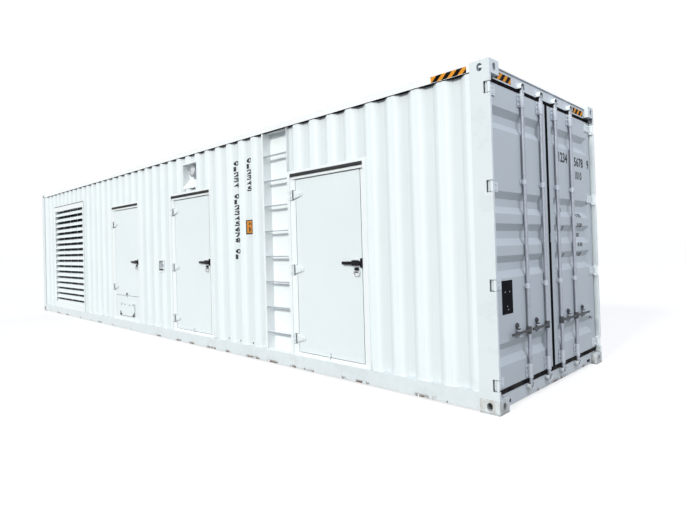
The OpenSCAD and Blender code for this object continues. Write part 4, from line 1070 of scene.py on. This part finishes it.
hatch = dict(
    face=0.006, inset=0.032, latchHalf=0.028, latchY=(-0.014, 0.002), latchZ=(0.006, 0.038),
    armOut=0.0168, armHalf=0.006, armY=(-0.0098, 0.002), armZ=(0.010, 0.080), soften=0.003,
    screwX=(0.250, 0.100), screwDrop=0.036, screw=0.012, footShadowIn=0.03, footShadowY=(-0.003, 0.004),
    footShadowZ=(0, 0.005), footShadowSoft=0.001)
toggle = dict(
    face=0.0135, rise=0.026, peg=((0.003, 0.014), 0.010, 20, 0.009, 0.002),
    plate=(0.015, (-0.004, 0.002), (0.008, 0.052), 0.002),
    wing=(0.024, (-0.008, -0.003), (0.022, 0.030), 0.0015))


def hatchLatches(bm):    # quarter-turn catches at the lower corners, screws along the hinge
    low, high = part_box("cable_hatch")
    middle, face = (low.x + high.x) / 2, low.y + hatch["face"]
    for side in (-1, 1):
        x = middle + side * ((high.x - low.x) / 2 - hatch["inset"])
        addBlock(bm, about(x, hatch["latchHalf"]), shift(face, hatch["latchY"]),
                 shift(low.z, hatch["latchZ"]), hatch["soften"])
        addBlock(bm, about(x + side * hatch["armOut"], hatch["armHalf"]),
                 shift(face, hatch["armY"]), shift(low.z, hatch["armZ"]), hatch["soften"])
        for x in shift(middle, hatch["screwX"], side):
            addDome(bm, (x, face, high.z - hatch["screwDrop"]), (0, -1, 0), hatch["screw"])


def hatchFootShadow(bm):    # a black strip along the foot of the hatch, a painted shadow under its lower edge
    low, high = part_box("cable_hatch")
    addBlock(bm, (low.x + hatch["footShadowIn"], high.x - hatch["footShadowIn"]),
             shift(low.y + hatch["face"], hatch["footShadowY"]), shift(low.z, hatch["footShadowZ"]),
             hatch["footShadowSoft"])


def leafToggle(bm):    # the turn catch on the drop bolt of the short leaf
    low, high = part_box("side_door_1")
    middle, face = (low.x + high.x) / 2, low.y - toggle["face"]
    for half, y, z, soften in (toggle["plate"], toggle["wing"]):
        addBlock(bm, about(middle, half), shift(face, y), shift(low.z, z), soften)
    addPeg(bm, (middle, face, low.z + toggle["rise"]), (0, -1, 0), *toggle["peg"])


makePiece("cable_hatch_latches", "lever", "cable_hatch", hatchLatches)
makePiece("cable_hatch_foot_shadow", "rubber", "cable_hatch", hatchFootShadow)
makePiece("short_leaf_toggle", "forged", "side_door_1", leafToggle)

pocket = dict(border=0.022, lipY=(0.002, 0.030), lipZ=(0.022, 0.040), soften=(0.004, 3))


def stopPocketShadow(bm):    # a black strip along the foot of the stop pocket, a painted shadow under its lip
    low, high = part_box("stop_box")
    addBlock(bm, (low.x + pocket["border"], high.x - pocket["border"]),
             shift(low.y, pocket["lipY"]), shift(low.z, pocket["lipZ"]), *pocket["soften"])


makePiece("stop_pocket_shadow", "rubber", "container", stopPocketShadow)

lamp = dict(guard=0.076, guardWire=0.0125, guardBack=0.010, guardSides=12, guardSteps=48,
            glass=(-0.0058, -0.0013), glassIn=0.0075, glassTip=0.011, glassSides=40,
            glassSoft=0.0015, screwIn=0.0035, screws=4, screw=0.003)
lampLow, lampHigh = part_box("floodlight")
lampMiddle = Vector(((lampLow.x + lampHigh.x) / 2, lampLow.y, (lampLow.z + lampHigh.z) / 2))
lampRadius = (lampHigh.x - lampLow.x) / 2


def lampLens(bm):
    addPeg(bm, lampMiddle, (0, -1, 0), lamp["glass"], lampRadius - lamp["glassIn"],
           lamp["glassSides"], lampRadius - lamp["glassTip"], lamp["glassSoft"])


def lampGuard(bm):
    verts = bmesh.ops.create_circle(bm, radius=lamp["guardWire"],
                                    segments=lamp["guardSides"])["verts"]
    place = lampMiddle + Vector((lamp["guard"], lamp["guardBack"], 0))
    bmesh.ops.translate(bm, vec=place, verts=verts)
    bmesh.ops.spin(bm, geom=bm.verts[:] + bm.edges[:], cent=lampMiddle, axis=(0, 1, 0),
                   angle=2 * math.pi, steps=lamp["guardSteps"], use_merge=True)


def lampScrews(bm):
    for step in range(lamp["screws"]):
        angle = math.pi / 4 + step * 2 * math.pi / lamp["screws"]
        spot = Vector((math.cos(angle), 0, math.sin(angle))) * (lampRadius - lamp["screwIn"])
        addDome(bm, lampMiddle + spot, (0, -1, 0), lamp["screw"])


makePiece("floodlight_lens", "glass", "container", lampLens)
makePiece("floodlight_guard", "bar", "container", lampGuard, slotName="lamp_metal")
makePiece("floodlight_screws", "chrome", "container", lampScrews, slotName="lamp_metal")

rungs = dict(count=8, thickness=0.008, inset=0.003, front=(-0.002, 0.004), span=(-0.0015, 0.0095),
             soften=0.001)


def rungEdges(bm):    # a grey strip along the front of each ladder rung
    low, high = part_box("ladder_steps")
    pitch = (high.z - low.z - rungs["thickness"]) / (rungs["count"] - 1)
    for step in range(rungs["count"]):
        addBlock(bm, (low.x + rungs["inset"], high.x - rungs["inset"]),
                 shift(low.y, rungs["front"]), shift(low.z + step * pitch, rungs["span"]),
                 rungs["soften"])


makePiece("rung_edges", "bar", "container", rungEdges)

troughShadows = dict(first=2.156, pitch=0.278, count=3, rise=0.030,
              shape=((-0.008, 0.003), 0.013, 20, 0.010, 0.001))


def troughShadowDots(bm, side, label):    # black dots at the foot of three corrugation troughs, a painted shadow where the wall meets the bottom rail
    node = label + "_wall_panels"
    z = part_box(node)[0].z + troughShadows["rise"]
    for step in range(troughShadows["count"]):
        x = troughShadows["first"] + step * troughShadows["pitch"]
        hit = hitOn(node, (x, side * standOff, z), (0, -side, 0))
        addPeg(bm, (x, hit.y, z), (0, side, 0), *troughShadows["shape"])


for side, label in walls:
    makePiece("trough_shadow_dots_" + label, "rubber", "container", troughShadowDots, side, label)

# the first four entries size a dark strip along the louvre head, a painted shadow
duct = dict(shadowX=0.01, shadowY=(-0.006, 0.004), shadowZ=(-0.002, 0.009), shadowSoft=0.001,
            depth=0.100, inset=0.002, sag=0.004, thickness=0.0015, cells=24)


def ductScreen(bm, side):    # slack wire mesh at the back of the louvre, whose near-black backing is a painted shade
    low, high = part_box("louvre_blades")
    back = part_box("louvre_frames")[1].y - duct["depth"]
    width = high.x - low.x - 2 * duct["inset"]
    height = high.z - low.z - 2 * duct["inset"]
    bmesh.ops.create_grid(bm, x_segments=duct["cells"], y_segments=duct["cells"], size=0.5)
    for vert in bm.verts:
        bow = duct["sag"] * (1 - (2 * vert.co.x) ** 2) * (1 - (2 * vert.co.y) ** 2)
        vert.co = ((low.x + high.x) / 2 + vert.co.x * width, side * (back - bow),
                   (low.z + high.z) / 2 + vert.co.y * height)
    thickenSheet(bm, (0, side, 0), duct["thickness"])


def louvreHeadShadow(bm, side):    # a dark strip along the head of the louvre's frame, a painted shadow under the frame's top
    low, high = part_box("louvre_frames")
    addBlock(bm, (low.x + duct["shadowX"], high.x - duct["shadowX"]),
             shift(side * high.y, duct["shadowY"], side), shift(high.z, duct["shadowZ"]),
             duct["shadowSoft"])


for side, label in walls:
    makePiece("louvre_head_shadow_" + label, "screen", "container", louvreHeadShadow, side,
              slotName="door_rubber")
    makePiece("louvre_screen_" + label, "screen", "container", ductScreen, side)
print("hatch, lamp and louvre details made")

railLow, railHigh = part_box("top_rails")
headLow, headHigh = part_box("door_header")
tapes = dict(
    side=(railHigh.x - 0.383, railHigh.x - 0.031), sideZ=(railLow.z + 0.003, railHigh.z - 0.003),
    head=(0.725, 1.040), headZ=(headLow.z + 0.013, headLow.z + 0.076), lip=0.010,
    cells=(24, 3), gap=0.0006, ripple=0.0004, thickness=0.0005)


def tapeStrip(bm, start, width, height, along, outward):    # a strip pressed on by hand
    across, up = tapes["cells"]
    bmesh.ops.create_grid(bm, x_segments=across, y_segments=up, size=0.5)
    along, outward, start = Vector(along), Vector(outward), Vector(start)
    for vert in bm.verts:
        lift = tapes["gap"] + random.uniform(0, tapes["ripple"])
        vert.co = (start + along * (vert.co.x + 0.5) * width
                   + Vector((0, 0, (vert.co.y + 0.5) * height)) + outward * lift)
    thickenSheet(bm, outward, tapes["thickness"])


for side, label in walls:
    low, high = tapes["side"]
    base, top = tapes["sideZ"]
    makePiece("rail_tape_" + label, "tape", "container", tapeStrip,
              (low, side * railHigh.y, base), high - low, top - base, (1, 0, 0), (0, side, 0))
    low, high = tapes["head"]
    base, top = tapes["headZ"]
    makePiece("header_tape_" + label, "tape", "container", tapeStrip,
              (headHigh.x - tapes["lip"], side * low, base), high - low, top - base,
              (0, side, 0), (1, 0, 0))

marks = dict(lift=0.0004, thickness=0.0005, wallSize=(0.132, 0.062), pitch=0.073, bold=0.05,
             narrow=0.35, columns=((-0.662, "01234 012345678 01"), (-0.372, "012345")),
             top=0.250, cells=6, sticker=((-0.398, -0.233), (-1.234, -1.049)),
             whole=[((0, 1), (0, 1))],
             bars=[((0.0, 0.07), (0, 1)), ((0.93, 1.0), (0, 1)), ((0.07, 0.93), (0, 0.09)),
                   ((0.07, 0.93), (0.93, 1)), ((0.26, 0.44), (0.2, 0.52)),
                   ((0.58, 0.76), (0.2, 0.44)), ((0.26, 0.44), (0.66, 0.82)),
                   ((0.58, 0.76), (0.56, 0.82))])
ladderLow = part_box("ladder_recess")[0]


def wallNumbers(bm, fromLadder, digits):    # one digit under another, down the wall
    width, height = marks["wallSize"]
    for row, digit in enumerate(digits):
        if digit != " ":
            corner = (ladderLow.x + fromLadder, -standOff,
                      railLow.z - marks["top"] - height - row * marks["pitch"])
            narrow = marks["narrow"] if digit == "1" else 1.0
            addDigits(bm, digit, corner, (width * narrow, height), (1, 0, 0), (0, 0, 1),
                      marks["bold"])
    wrapOnto(bm, "near_wall_panels", (0, 1, 0), marks["lift"], marks["thickness"])


for index, column in enumerate(marks["columns"]):
    makePiece("wall_numbers_%d" % (index + 1), "ink", "container", wallNumbers, *column)


def wallSticker(bm, patches, lift):    # patches are shares of the sticker's width and height
    (left, right), (base, top) = marks["sticker"]
    for x, z in patches:
        verts = bmesh.ops.create_grid(bm, x_segments=marks["cells"], y_segments=marks["cells"],
                                      size=0.5)["verts"]
        for vert in verts:
            across = x[0] + (vert.co.x + 0.5) * (x[1] - x[0])
            up = z[0] + (vert.co.y + 0.5) * (z[1] - z[0])
            vert.co = (ladderLow.x + left + across * (right - left), -standOff,
                       railLow.z + base + up * (top - base))
    wrapOnto(bm, "near_wall_panels", (0, 1, 0), lift, marks["thickness"])


makePiece("wall_sticker", "orange", "container", wallSticker, marks["whole"], marks["lift"])
makePiece("sticker_bars", "ink", "container", wallSticker, marks["bars"], 3 * marks["lift"],
          slotName="white_paint")

doorMarks = dict(bold=0.03, before=0.5, rows=(
    ("1234", 0.290, 0.235, 2.205, 0.104), ("5678", 0.715, 0.265, 2.195, 0.104),
    ("9", 1.095, 0.060, 2.195, 0.104), ("1010", 0.735, 0.190, 2.055, 0.090),
    ("10 000", 0.735, 0.150, 1.640, 0.046), ("20 000", 0.735, 0.150, 1.535, 0.046),
    ("30 000", 0.735, 0.150, 1.430, 0.046), ("40 000", 0.735, 0.150, 1.325, 0.046),
    ("50 000", 0.735, 0.150, 1.220, 0.046), ("10", 0.345, 0.050, 1.690, 0.044),
    ("20", 0.345, 0.050, 1.500, 0.044), ("30", 0.345, 0.050, 1.220, 0.044),
    ("70", 1.055, 0.060, 0.500, 0.032)))


def doorNumbers(bm):
    for digits, left, width, base, height in doorMarks["rows"]:
        addDigits(bm, digits, (doorFace + doorMarks["before"], left, base), (width, height),
                  (0, 1, 0), (0, 0, 1), doorMarks["bold"])
    wrapOnto(bm, "cargo_door_right", (-1, 0, 0), marks["lift"], marks["thickness"])


makePiece("door_numbers", "ink", "cargo_door_right", doorNumbers)
print("tapes and numbers laid on")
